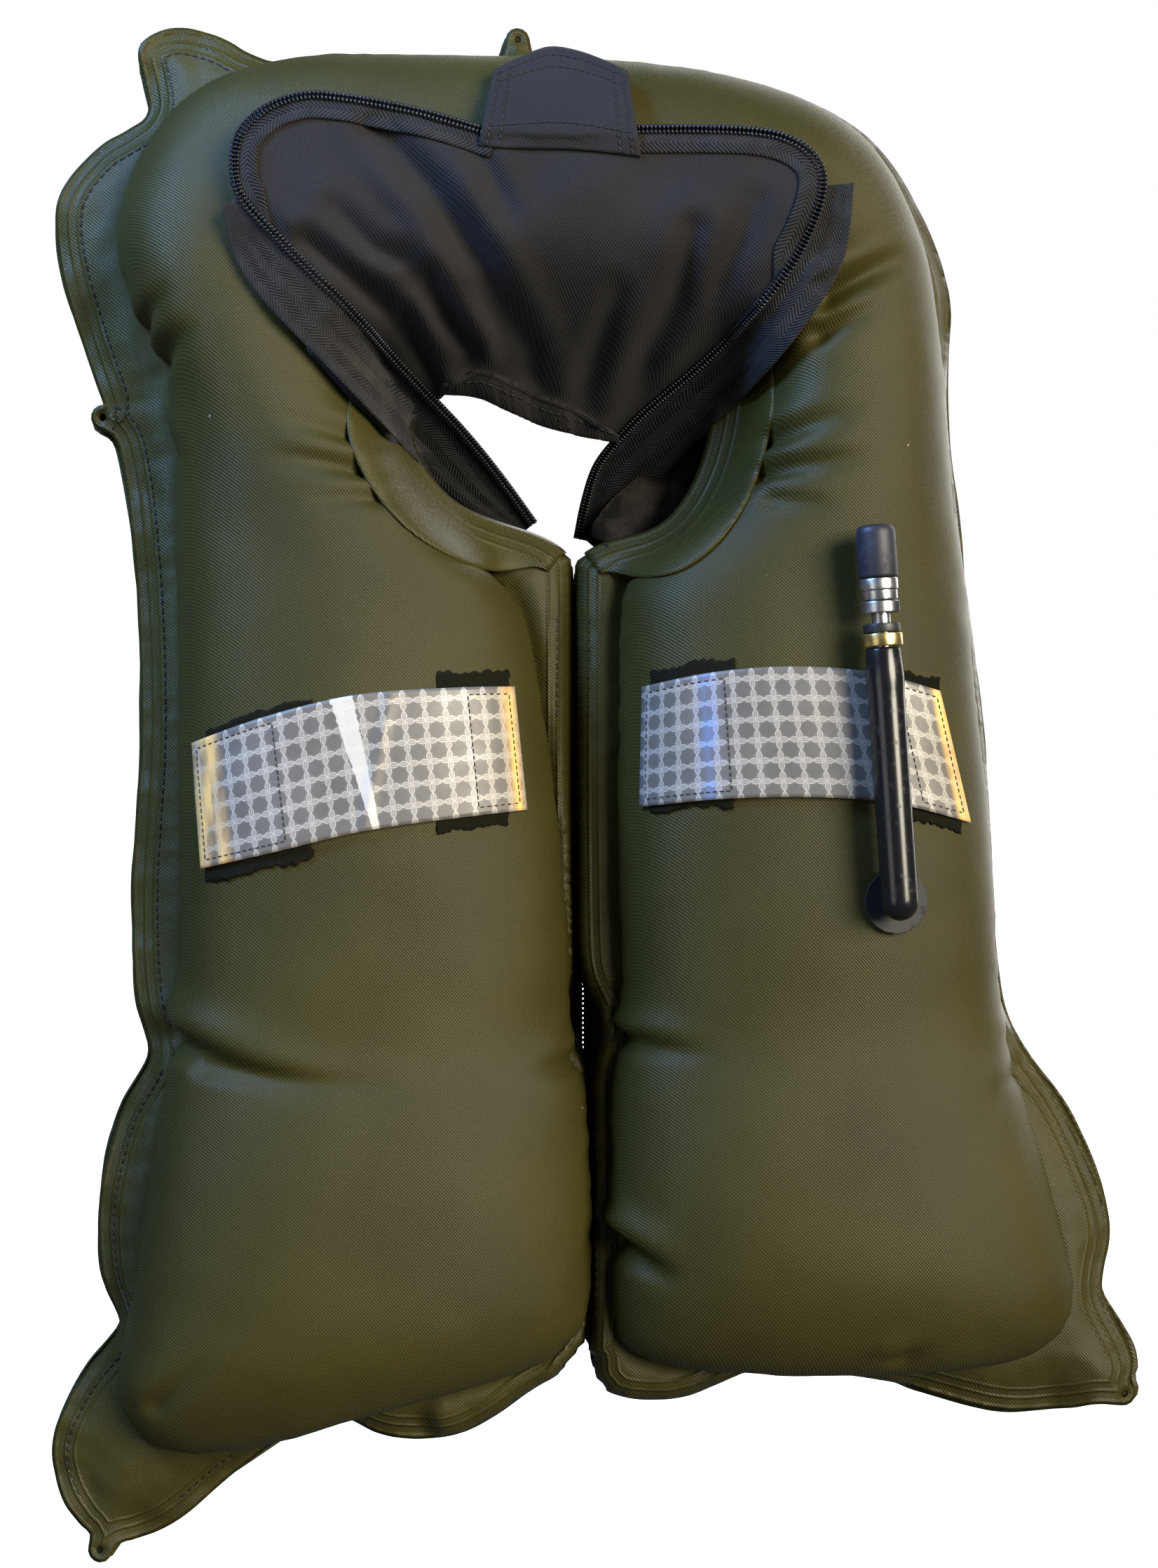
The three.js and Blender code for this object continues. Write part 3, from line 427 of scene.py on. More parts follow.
TEETH, THREAD, RUBBER, FOOT_RUBBER, MOUTH_RUBBER, PLASTIC, RED = (
    moulded(name, (*dark, 1), (*light, 1), roughness, grain * MM)
    for name, dark, light, roughness, grain in (
        ("black_teeth", (0.004, 0.004, 0.006), (0.012, 0.012, 0.016), 0.2, 0.01),
        ("black_thread", (0.006, 0.005, 0.005), (0.018, 0.016, 0.015), 0.6, 0.04),
        ("black_rubber_gloss", (0.004, 0.004, 0.005), (0.012, 0.012, 0.014), 0.22, 0.01),
        ("black_rubber_foot", (0.004, 0.004, 0.004), (0.012, 0.012, 0.012), 0.62, 0.03),
        ("black_rubber_matt", (0.012, 0.013, 0.022), (0.034, 0.036, 0.06), 0.5, 0.03),
        ("black_plastic", (0.010, 0.010, 0.011), (0.03, 0.03, 0.032), 0.42, 0.04),
        ("red_plastic", (0.26, 0.012, 0.008), (0.42, 0.03, 0.02), 0.4, 0.03),
    )
)
BRASS = metal("brass_band", (0.55, 0.40, 0.13, 1), (0.78, 0.62, 0.28, 1), 0.26)
NICKEL = metal("nickel_plate", (0.42, 0.42, 0.43, 1), (0.66, 0.66, 0.68, 1), 0.26)
STEEL = metal("steel_shell", (0.30, 0.31, 0.32, 1), (0.50, 0.51, 0.52, 1), 0.36)

# ---- mesh helpers -------------------------------------------------------------------------


def welded(node):
    """The node's mesh as a bmesh whose faces share their vertices."""
    bm = bmesh.new()
    bm.from_mesh(frame["nodes"][node].data)
    bmesh.ops.remove_doubles(bm, verts=bm.verts, dist=WELD_GAP)
    bmesh.ops.recalc_face_normals(bm, faces=bm.faces)
    return bm


def make_mesh(name, points, faces, uvs=None, **values):
    """A mesh with its cloth coordinates, if any, and a number at each point for each value."""
    mesh = bpy.data.meshes.new(name)
    mesh.from_pydata([tuple(p) for p in points], [], faces)
    if uvs is not None:
        layer = mesh.uv_layers.new(name="cloth")
        corner = np.zeros(len(mesh.loops), int)
        mesh.loops.foreach_get("vertex_index", corner)
        layer.data.foreach_set("uv", np.asarray(uvs, float)[corner].astype(np.float32).ravel())
    for key, numbers in values.items():
        attribute = mesh.attributes.new(key, "FLOAT", "POINT")
        attribute.data.foreach_set("value", np.asarray(numbers, np.float32))
    mesh.validate()
    return mesh


def put(name, mesh, materials, replaced=(), body="vest"):
    made = bpy.data.objects.new(name, mesh)
    bpy.context.scene.collection.objects.link(made)
    mesh.materials.clear()
    for material in materials if isinstance(materials, list) else [materials]:
        mesh.materials.append(material)
    mesh.polygons.foreach_set("use_smooth", [True] * len(mesh.polygons))
    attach(made, body)
    if replaced:
        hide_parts(*replaced)
    return made


def thicken(obj, thickness, offset=0.0):
    """Gives a sheet its thickness: about its middle, or behind it with an offset of -1.

    Its back takes the last of its materials.
    """
    solid = obj.modifiers.new("thickness", "SOLIDIFY")
    solid.thickness = thickness
    solid.offset = offset
    solid.material_offset = len(obj.data.materials) - 1
    solid.use_even_offset = False


def sheet_over(
    name, points, y, faces, thickness, materials, slot, replaced=(), offset=-1.0, **values
):
    """A sheet over points in X and Z, at a depth for each."""
    mesh = make_mesh(name, lift(points, y), faces, points, **values)
    made = put(name, mesh, materials, replaced)
    thicken(made, thickness, offset)
    return made


def points_of(mesh):
    points = np.zeros(len(mesh.vertices) * 3)
    mesh.vertices.foreach_get("co", points)
    return points.reshape(-1, 3)


def normals_of(mesh):
    normals = np.zeros(len(mesh.vertices) * 3)
    mesh.vertex_normals.foreach_get("vector", normals)
    return normals.reshape(-1, 3)


def set_points(mesh, points):
    mesh.vertices.foreach_set("co", np.asarray(points, np.float32).ravel())
    mesh.update()


def field(points, scale, seed=0.0):
    """Smooth noise from about -1 to 1 at each point."""
    shift = Vector((seed, 2.3 * seed, -1.7 * seed))
    return np.array([noise.noise(Vector(p) / scale + shift) for p in points])


def smoothstep(x):
    x = np.clip(x, 0, 1)
    return x * x * (3 - 2 * x)


def tree_of(mesh):
    faces = [tuple(p.vertices) for p in mesh.polygons]
    return BVHTree.FromPolygons([v.co for v in mesh.vertices], faces)


def hit_at(tree, x, z, start=-1):
    """Where a line from the front, or from behind with a start of 1, meets a surface.

    Gives the place and the normal there, or (None, None).
    """
    place, normal, _, _ = tree.ray_cast(Vector((x, start, z)), FRONT * start)
    return place, normal


def depths(tree, places, start=-1):
    """The Y of a surface at each place, whose X comes first and Z last, or NaN beside it."""
    found = []
    for x, z in zip(places[..., 0].ravel(), places[..., -1].ravel()):
        hit, _ = hit_at(tree, x, z, start)
        found.append(math.nan if hit is None else hit.y)
    return np.reshape(found, places.shape[:-1])


def run_along(line):
    """How far along an open line each of its points lies."""
    return np.concatenate([[0], np.cumsum(np.linalg.norm(np.diff(line, axis=0), axis=1))])


def sampled(line, run, at):
    """The points of an open line at given runs along it."""
    return np.stack([np.interp(at, run, column) for column in line.T], 1)


def lift(points, y=0.0):
    """Points in X and Z as places at a depth."""
    return np.stack([points[:, 0], y + np.zeros(len(points)), points[:, 1]], 1)


# ---- the two cells ------------------------------------------------------------------------


def rounded(node, levels):
    """A fine, smooth skin over a node, fitted to the node's own box."""
    bm = welded(node)
    bmesh.ops.join_triangles(
        bm, faces=bm.faces, angle_face_threshold=math.pi, angle_shape_threshold=math.pi
    )
    mesh = bpy.data.meshes.new(node + "_skin")
    bm.to_mesh(mesh)
    bm.free()
    holder = bpy.data.objects.new("holder", mesh)
    bpy.context.scene.collection.objects.link(holder)
    holder.modifiers.new("smooth", "SUBSURF").levels = levels
    smooth = holder.evaluated_get(bpy.context.evaluated_depsgraph_get())
    skin = bpy.data.meshes.new_from_object(smooth)
    bpy.data.objects.remove(holder)
    points = points_of(skin)
    low, high = (np.array(corner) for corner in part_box(node))
    near, far = points.min(0), points.max(0)
    set_points(skin, low + (points - near) * (high - low) / (far - near))
    return skin


def crease(points, start, end, depth, width):
    """How far a fold moves each point out: a groove, deepest at its start, under a raised lip."""
    start, end = np.array(start) * MM, np.array(end) * MM
    way = end - start
    square = np.array([-way[1], way[0]]) / np.hypot(*way)
    square *= np.sign(square[1])

    def near(shift, reach):
        offset = points[:, [0, 2]] - start - square * shift
        share = np.clip(offset @ way / (way @ way), 0, 1)
        distance = np.hypot(*(offset - share[:, None] * way).T)
        return np.exp(-((distance / reach) ** 2)) * (1 - share) ** 1.2

    return depth * (0.5 * near(1.9 * width, 1.6 * width) - near(0, width))


# Folds of the inflated front: start and end in X and Z, depth and width, in mm.
FOLDS = [
    ((-172, -250), (-96, -272), 9, 5),
    ((-150, -262), (-70, -268), 2.5, 3),
    ((-168, -395), (-146, -374), 3, 4.5),
    ((6, -258), (-22, -266), 5, 4),
    ((6, -246), (-12, -252), 3, 3),
    ((10, -252), (50, -256), 6, 3.6),
    ((10, -332), (38, -346), 9, 4.5),
    ((-182, 8), (-146, 27), 8, 5),
    ((-180, 24), (-158, 42), 6, 4),
    ((-176, -8), (-156, -28), 5, 4),
    ((-82, -30), (-124, -24), 6, 3.6),
    ((-84, -19), (-120, -8), 4.5, 3.4),
    ((-78, -40), (-108, -42), 3.5, 3.2),
    ((92, 36), (134, 58), 9, 4.6),
    ((90, 22), (120, 36), 5, 4),
    ((68, -30), (112, -25), 6, 3.8),
    ((70, -18), (108, -6), 5.5, 4),
    ((72, -41), (100, -45), 3.5, 3.4),
    ((124, -376), (134, -368), 4, 3.5),
    ((182, -250), (160, -262), 4, 5),
    ((178, -262), (156, -278), 3, 4),
    ((5, -380), (-10, -372), 4, 4),
]

front_skin = rounded("front_cell", 3)
seam_points = points_of(front_skin)
SEAM_Y = float(seam_points[seam_points[:, 0].argmax(), 1])  # widest contour of the front cell
rear_low, rear_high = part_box("rear_cell")
REAR_SEAM_Y = (rear_low.y + rear_high.y) / 2


def wrinkle(mesh, seam_y, seam_reach, seam_depth, broad, folds=()):
    """Puckers that run into the seam, broad unevenness and folds, along the surface's normals."""
    points, normals = points_of(mesh), normals_of(mesh)
    flat = points * (1, 0, 1)
    near_seam = np.exp(-(((points[:, 1] - seam_y) / seam_reach) ** 2))
    gather = 0.35 + 0.65 * smoothstep(0.5 + field(flat, 45 * MM, 4.0) * 1.6)
    pucker = field(flat, 5.5 * MM, 1.0) + 0.7 * field(flat, 11 * MM, 2.0)
    out = seam_depth * near_seam * gather * pucker
    out += broad * field(points, 48 * MM, 3.0) + 0.35 * broad * field(points, 19 * MM, 5.0)
    facing = smoothstep((seam_y + 12 * MM - points[:, 1]) / (10 * MM))
    for start, end, depth, width in folds:
        out += crease(points, start, end, depth * MM, width * MM) * facing
    set_points(mesh, points + normals * out[:, None])


def make_cells():
    wrinkle(front_skin, SEAM_Y, 17 * MM, 1.1 * MM, 0.8 * MM, FOLDS)
    front = put("front_cell_skin", front_skin, OLIVE, ["front_cell"])
    rear_mesh = rounded("rear_cell", 2)
    wrinkle(rear_mesh, REAR_SEAM_Y, 9 * MM, 1.6 * MM, 1.6 * MM)
    rear = put("rear_cell_skin", rear_mesh, OLIVE_REAR, ["rear_cell"])
    return rear_mesh


rear_skin = make_cells()
front_tree = tree_of(front_skin)

# ---- flat sheets cut from a plate's outline -----------------------------------------------


def rim_loops(bm, faces):
    """The lines round a group of faces, each with its points in order."""
    chosen = {f.index for f in faces}
    follow = {}
    for face in faces:
        for loop in face.loops:
            if sum(f.index in chosen for f in loop.edge.link_faces) == 1:
                follow[loop.vert.index] = loop.link_loop_next.vert.index
    bm.verts.ensure_lookup_table()
    loops = []
    while follow:
        at = next(iter(follow))
        line = []
        while at in follow:
            line.append(tuple(bm.verts[at].co))
            at = follow.pop(at)
        loops.append(np.array(line))
    return loops


def flat_loops(node):
    """The outlines of a flat plate's front face in X and Z, longest first."""
    bm = welded(node)
    front = min(v.co.y for v in bm.verts)
    facing = [f for f in bm.faces if all(v.co.y < front + 0.1 * MM for v in f.verts)]
    loops = [loop[:, [0, 2]] for loop in rim_loops(bm, facing)]
    bm.free()
    return sorted(loops, key=loop_length, reverse=True)


def loop_length(loop):
    return np.hypot(*(np.roll(loop, -1, 0) - loop).T).sum()


def respaced(loop, spacing, rounds=1):
    """A closed line with its corners eased, in equal steps."""
    for _ in range(rounds):
        after = np.roll(loop, -1, 0)
        loop = np.stack([0.75 * loop + 0.25 * after, 0.25 * loop + 0.75 * after], 1).reshape(-1, 2)
    closed = np.vstack([loop, loop[:1]])
    run = run_along(closed)
    steps = max(8, round(run[-1] / spacing))
    return sampled(closed, run, np.arange(steps) / steps * run[-1])


def line_distance(points, loop):
    """Distance of each point from a closed line."""
    best = np.full(len(points), 1e9)
    for a, b in zip(loop, np.roll(loop, -1, 0)):
        way = b - a
        share = np.clip((points - a) @ way / max(way @ way, 1e-12), 0, 1)
        best = np.minimum(best, np.hypot(*(points - a - share[:, None] * way).T))
    return best


def within(points, loop):
    """Which points lie inside a closed line."""
    inside = np.zeros(len(points), bool)
    for a, b in zip(loop, np.roll(loop, -1, 0)):
        crosses = (a[1] > points[:, 1]) != (b[1] > points[:, 1])
        slope = (b[0] - a[0]) / (b[1] - a[1]) if b[1] != a[1] else 0
        inside ^= crosses & (points[:, 0] < a[0] + (points[:, 1] - a[1]) * slope)
    return inside


def filled(outline, holes, spacing):
    """Points in X and Z that fill an outline, and the triangles between them."""
    low, high = outline.min(0), outline.max(0)
    rows = np.arange(low[1], high[1], spacing * 0.866)
    grid = np.array([
        (x + (row % 2) * spacing / 2, z)
        for row, z in enumerate(rows)
        for x in np.arange(low[0], high[0], spacing)
    ])

    def covered(places):
        return within(places, outline) & ~np.any([within(places, hole) for hole in holes], 0)

    loops = [outline, *holes]
    clear = np.min([line_distance(grid, loop) for loop in loops], 0) > spacing * 0.6
    points = np.vstack([*loops, grid[covered(grid) & clear]])
    edges = []
    first = 0
    for loop in loops:
        edges += [(first + i, first + (i + 1) % len(loop)) for i in range(len(loop))]
        first += len(loop)
    made = geometry.delaunay_2d_cdt([Vector(p) for p in points], edges, [], 1, 1e-7)
    points = np.array([tuple(p) for p in made[0]])
    faces = np.array(made[2])
    return points, faces[covered(points[faces].mean(1))].tolist()


class Cell:
    """A cell's skin seen from the front: what it covers and how far a place is from its rim."""

    def __init__(self, mesh, seam_y, reach):
        self.tree = tree_of(mesh)
        self.rim = kdtree.KDTree(len(mesh.vertices))
        for vertex in mesh.vertices:
            if abs(vertex.co.y - seam_y) < reach:
                self.rim.insert((vertex.co.x, 0, vertex.co.z), vertex.index)
        self.rim.balance()

    def distance(self, points):
        """Distance of each point in X and Z from the rim, 0 inside it."""
        outside = np.isnan(depths(self.tree, points))
        return np.array([
            self.rim.find((x, 0, z))[2] if out else 0.0 for (x, z), out in zip(points, outside)
        ])


def calmed(values, faces, rounds):
    """Evens out a number at each point with those of its neighbours."""
    faces = np.array(faces)
    ends = np.vstack([faces[:, [0, 1]], faces[:, [1, 2]], faces[:, [2, 0]]])
    ends = np.vstack([ends, ends[:, ::-1]])
    count = np.bincount(ends[:, 0], minlength=len(values))
    for _ in range(rounds):
        around = np.bincount(ends[:, 0], values[ends[:, 1]], len(values))
        values = 0.4 * values + 0.6 * around / np.maximum(count, 1)
    return values


RIM_SPACING = 2.3 * MM  # between the points of the modelled rim
ROLL = 4.5 * MM  # how far in the neckline and slit edges roll back
PLATE_Y = -12 * MM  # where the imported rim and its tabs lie
RIM_Y = -33 * MM  # where the loose edge of the modelled rim lies
PANEL_EDGE_Y = -2 * MM  # where the backing cloth ends
SLIT_GAPE_Z = -247 * MM  # the slit stands a little open here and is drawn together elsewhere
NECK_HALF_WIDTH = 95 * MM
NECK_TOP_Z = 45 * MM
SLIT_TOP_Z = -58 * MM


def rim_wave(flat, ear):
    """How the rim and every layer behind it wave at the edge, most at the ears."""
    wave = (3.0 + 6.5 * ear) * MM * field(flat, 27 * MM, 7.0)
    return wave + (0.4 + 0.9 * ear) * MM * field(flat, 11 * MM, 8.0)


def drawn_together(outline):
    """The outline with the two edges of its slit moved closer, all but at the gape."""
    made = outline.copy()
    for index, (x, z) in enumerate(outline):
        if z > SLIT_TOP_Z or abs(x) > 9 * MM:
            continue
        across = np.abs(outline[:, 0] - x)
        facing = (across > 2.5 * MM) & (across < 6 * MM) & (np.abs(outline[:, 1] - z) < 5 * MM)
        if facing.any():
            gape = math.exp(-(((z - SLIT_GAPE_Z) / (14 * MM)) ** 2))
            made[index][0] += (0.36 - 1.5 * gape) * (outline[facing][:, 0].mean() - x)
    return made


def drifted(loop, drift, scale, seed):
    """A line in X and Z that wanders a little off its course."""
    flat = lift(loop)
    return loop + drift * np.stack([field(flat, scale, seed + turn) for turn in (0, 1)], 1)


def brought_forward(loop):
    """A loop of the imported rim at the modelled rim's depth, the same as seen from the front."""
    aim = np.array([CAMERA_PLACE[0], CAMERA_PLACE[2]])
    return aim + (loop - aim) * (RIM_Y - CAMERA_PLACE[1]) / (PLATE_Y - CAMERA_PLACE[1])


flange_loops = [brought_forward(loop) for loop in flat_loops("seam_flange")]
flange_outline, cell_window, *tab_holes = flange_loops
cell_window = respaced(cell_window, 4 * MM)
flange_outline = drawn_together(respaced(flange_outline, RIM_SPACING, 2))
at_neck = (np.abs(flange_outline[:, 0]) < NECK_HALF_WIDTH) & (flange_outline[:, 1] < NECK_TOP_Z)
inner_edge = flange_outline[at_neck & (flange_outline[:, 1] > -400 * MM)]


def inner_share(points):
    """1 on the strips beside the slit and round the neck, 0 on the outer rim."""
    near = np.full(len(points), 1.0)
    for edge in inner_edge:
        near = np.minimum(near, np.hypot(*(points - edge).T))
    return smoothstep((42 * MM - near) / (12 * MM))


def rim_shares(points, outline, cell):
    """For each point of a rim: distance from its edge, share of the way out, how far in an ear."""
    from_edge = line_distance(points, outline)
    from_cell = cell.distance(points)
    ear = smoothstep((from_cell + from_edge - 18 * MM) / (26 * MM))
    return from_edge, from_cell / (from_cell + from_edge + 1e-6), ear


def make_flange():
    """The welded rim of the front cell with its tabs, which waves more further out."""
    holes = [respaced(hole, 0.7 * MM, 2) for hole in tab_holes]
    points, faces = filled(flange_outline, [cell_window, *holes], RIM_SPACING)
    from_edge, share, ear = rim_shares(points, flange_outline, front_cell)
    flat = lift(points)
    inner = inner_share(points)
    outer = RIM_Y + rim_wave(flat, ear)
    edge_y = outer + (SEAM_Y + 4 * MM - outer) * inner
    y = SEAM_Y + (edge_y - SEAM_Y) * smoothstep(share)
    y -= inner * 4.5 * MM * np.sin(math.pi * np.clip(share, 0, 1))
    bend = np.clip(1 - from_edge / ROLL, 0, 1)
    y += inner * ROLL * (1 - np.sqrt(1 - bend**2))
    y += 0.9 * MM * np.sqrt(share) * field(flat, 8 * MM, 9.0)
    cloth = ([OLIVE_SEAM, NAVY], "olive_fabric", ["seam_flange"])
    flange = sheet_over(
        "seam_flange_cloth", points, y, faces, 1.3 * MM, *cloth, from_edge=from_edge
    )
    return flange.data


def make_rear_flange(front_layer, back_layer):
    """The rim of the rear cell, which shows past the front one in places."""
    spacing = 3 * MM
    loop = respaced(drifted(flange_outline, 2.6 * MM, 40 * MM, 11.0), spacing)
    points, faces = filled(loop, [respaced(cell_window, 5 * MM)], spacing)
    from_edge, share, ear = rim_shares(points, loop, rear_cell)
    flat = lift(points)
    edge_y = RIM_Y + 5 * MM + rim_wave(flat, ear) + 1.5 * MM * field(flat, 18 * MM, 13.0)
    edge_y += inner_share(points) * 12 * MM
    y = REAR_SEAM_Y + (edge_y - REAR_SEAM_Y) * smoothstep(share)
    y = np.fmin(y, depths(back_layer, points) - 2.2 * MM)
    y = np.fmax(y, depths(front_layer, points) + 2.6 * MM)
    cloth = ([OLIVE_SEAM, NAVY], "olive_fabric")
    sheet_over("rear_flange_cloth", points, y, faces, 1.2 * MM, *cloth, from_edge=from_edge)


PANEL_SPACING = 4.5 * MM


def cut_panel():
    """The backing cloth's outline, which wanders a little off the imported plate's."""
    outline = respaced(flat_loops("back_panel")[0], PANEL_SPACING)
    return drifted(outline, 2.2 * MM, 35 * MM, 15.0)


def square_to(loop, step):
    """The direction square to a closed line at each of its points."""
    way = np.roll(loop, -step, 0) - np.roll(loop, step, 0)
    return np.stack([-way[:, 1], way[:, 0]], 1) / np.hypot(*way.T)[:, None]


def tuck_in(mesh, outline, margin):
    """Keep a skin a margin inside an outline in X and Z."""
    inward = square_to(outline, 1)
    inward[~within(outline + inward * MM, outline)] *= -1
    points = points_of(mesh)
    flat = points[:, [0, 2]]
    depth = line_distance(flat, outline) * np.where(within(flat, outline), 1, -1)
    for index in np.flatnonzero(depth < margin):
        nearest = np.hypot(*(outline - flat[index]).T).argmin()
        points[index, [0, 2]] += inward[nearest] * (margin - depth[index])
    set_points(mesh, points)


def covered_depth(points, reach):
    """How far back the rear cell stands within reach of each place in X and Z."""
    depth = np.full(len(points), -1.0)
    for turn in np.arange(8) * math.pi / 4:
        around = points + reach[:, None] * (math.cos(turn), math.sin(turn))
        depth = np.fmax(depth, depths(rear_cell.tree, around, 1))
    return depth


def make_back_panel(outline):
    """The backing cloth, stretched over the rear cell and brought forward at its edge."""
    _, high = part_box("back_panel")
    points, faces = filled(outline, [], PANEL_SPACING)
    from_edge = line_distance(points, outline)
    flat = lift(points)
    edge_y = PANEL_EDGE_Y + rim_wave(flat, 0.8) * 0.9
    edge_y += inner_share(points) * 22 * MM
    tight = smoothstep(from_edge / (34 * MM))
    y = edge_y + (high.y - edge_y) * tight
    inner = from_edge > 0.5 * MM
    behind = covered_depth(points, np.where(inner, PANEL_SPACING * 0.8, 0)) + 1.8 * MM
    for _ in range(3):
        y = calmed(np.maximum(y, behind), faces, 4)
    y = np.minimum(np.maximum(y, behind), high.y)
    cloth = (NAVY, "navy_fabric", ["back_panel"])
    panel = sheet_over("back_panel_cloth", points, y, faces, 1.2 * MM, *cloth, from_edge=from_edge)
    return tree_of(panel.data)


front_cell = Cell(front_skin, SEAM_Y, 4 * MM)
panel_outline = cut_panel()
tuck_in(rear_skin, panel_outline, 3 * MM)
rear_cell = Cell(rear_skin, REAR_SEAM_Y, 3 * MM)
flange_tree = tree_of(make_flange())
panel_tree = make_back_panel(panel_outline)
make_rear_flange(flange_tree, panel_tree)

# ---- strips of cloth on a grid ------------------------------------------------------------


def front_patch(node):
    """The side of a strip that faces the front: its outline, and a tree to find its depth."""
    bm = welded(node)
    line = rim_loops(bm, [f for f in bm.faces if f.normal.y < -0.02])[0]
    tree = BVHTree.FromBMesh(bm)
    bm.free()
    return line, tree


def rails_of(node):
    """The two long edges of a strip, both run the same way, the upper one first."""
    line, tree = front_patch(node)
    flat = line[:, [0, 2]]
    before, after = flat - np.roll(flat, 1, 0), np.roll(flat, -1, 0) - flat
    cross = before[:, 0] * after[:, 1] - before[:, 1] * after[:, 0]
    bend = np.abs(np.arctan2(cross, (before * after).sum(1)))
    corners = np.sort(np.argsort(bend)[-4:])
    sides = []
    for a, b in zip(corners, np.roll(corners, -1)):
        end = b if b > a else b + len(line)
        sides.append(line[np.arange(a, end + 1) % len(line)])
    lengths = [run_along(side)[-1] for side in sides]
    first = 0 if lengths[0] + lengths[2] > lengths[1] + lengths[3] else 1
    rails = [sides[first], sides[first + 2][::-1]]
    return sorted(rails, key=lambda rail: -rail[:, 2].mean()), tree


def eased(line, count):
    """An open line through the points, in equal steps, with its corners eased."""
    for _ in range(2):
        quarter = 0.75 * line[:-1] + 0.25 * line[1:]
        three = 0.25 * line[:-1] + 0.75 * line[1:]
        line = np.vstack([line[:1], np.stack([quarter, three], 1).reshape(-1, 3), line[-1:]])
    run = run_along(line)
    return sampled(line, run, np.linspace(0, run[-1], count))


def neighbours(grid):
    """The sum of the four numbers round each one of a grid, whose rim repeats outwards."""
    padded = np.pad(grid, 1, mode="edge")
    return padded[:-2, 1:-1] + padded[2:, 1:-1] + padded[1:-1, :-2] + padded[1:-1, 2:]


def grid_of(node, along, across, steady=2):
    """Rows of points over a strip's front side: [row across][step along]."""
    (upper, lower), tree = rails_of(node)
    if upper[0][0] > upper[-1][0]:
        upper, lower = upper[::-1], lower[::-1]
    top, bottom = eased(upper, along), eased(lower, along)
    rows = np.array([top + (bottom - top) * v for v in np.linspace(0, 1, across)])
    lay_on(tree, rows, 0)
    depth = rows[:, :, 1]
    for _ in range(steady):
        depth[1:-1, 1:-1] = (0.5 * depth + 0.125 * neighbours(depth))[1:-1, 1:-1]
    return rows


def lengths_of(rows):
    """Distance along and across the cloth at each point of a grid, in metres."""
    width = np.linalg.norm(np.diff(rows, axis=0), axis=2).sum(0).mean()
    return np.meshgrid(run_along(rows[len(rows) // 2]), np.linspace(0, width, len(rows)))


def grid_mesh(name, rows, values=None):
    count, steps = rows.shape[:2]
    faces = [
        (r * steps + c, (r + 1) * steps + c, (r + 1) * steps + c + 1, r * steps + c + 1)
        for r in range(count - 1)
        for c in range(steps - 1)
    ]
    u, v = lengths_of(rows)
    uvs = np.stack([u.ravel(), v.ravel()], 1)
    values = {key: np.ravel(numbers) for key, numbers in (values or {}).items()}
    return make_mesh(name, rows.reshape(-1, 3), faces, uvs, **values)


def strip(name, rows, thickness, materials, replaced=(), values=None):
    made = put(name, grid_mesh(name, rows, values), materials, replaced)
    thicken(made, thickness)
    return made


def lay_on(tree, rows, gap, only_forward=False):
    """Moves each point to a gap in front of a surface, or only those too near or behind it."""
    found, y = depths(tree, rows) - gap, rows[..., 1]
    rows[..., 1] = np.fmin(found, y) if only_forward else np.where(np.isnan(found), y, found)
    return rows


# ---- beads: stitches and zipper teeth -----------------------------------------------------


def beads(name, places, material, sides=6, rings=4):
    """Many small rounded pegs in one mesh.

    Each place is its centre, direction, normal, length, width and height.
    """
    points = []
    faces = []
    for centre, way, normal, length, width, height in places:
        way = way.normalized()
        across = way.cross(normal).normalized()
        up = across.cross(way)
        first = len(points)
        for r in range(rings + 1):
            angle = math.pi * (0.12 + 0.76 * r / rings)
            middle = centre - way * (math.cos(angle) * length / 2 / math.cos(0.12 * math.pi))
            girth = math.sin(angle) ** 0.6
            for s in range(sides):
                turn = 2 * math.pi * s / sides
                rim = across * (math.cos(turn) * width / 2) + up * (math.sin(turn) * height / 2)
                points.append(middle + rim * girth)
        for r in range(rings):
            for s in range(sides):
                a = first + r * sides + s
                b = first + r * sides + (s + 1) % sides
                faces.append((a, b, b + sides, a + sides))
        faces.append(tuple(first + s for s in reversed(range(sides))))
        faces.append(tuple(first + rings * sides + s for s in range(sides)))
    return put(name, make_mesh(name, points, faces), material)


def walk(line, pitch):
    """Points at equal steps along an open line in X and Z, and points a little ahead of them."""
    run = run_along(line)
    count = max(2, int(run[-1] / pitch))
    at = (np.arange(count) + 0.5) / count * run[-1]
    return sampled(line, run, at), sampled(line, run, at + 0.2 * pitch)


def stitch_places(line, tree, pitch=3.1, length=2.5, width=0.55, gap=0.0, start=-1):
    """Where the stitches of a line in X and Z lie on a surface, with their sizes in mm.

    They lie on its front, or on its back with a start of 1.
    """
    length, width = length * MM, width * MM
    rise = gap * MM + (0.18 * width if start < 0 else 0)
    places = []
    for place, ahead in zip(*walk(line, pitch * MM)):
        here, normal = hit_at(tree, *place, start)
        there, _ = hit_at(tree, *ahead, start)
        if here is None or there is None or (there - here).length < 1e-7:
            continue
        if normal.y * start < 0:
            normal = -normal
        places.append((here + normal * rise, there - here, normal, length, width, width))
    return places


# ---- collar -------------------------------------------------------------------------------

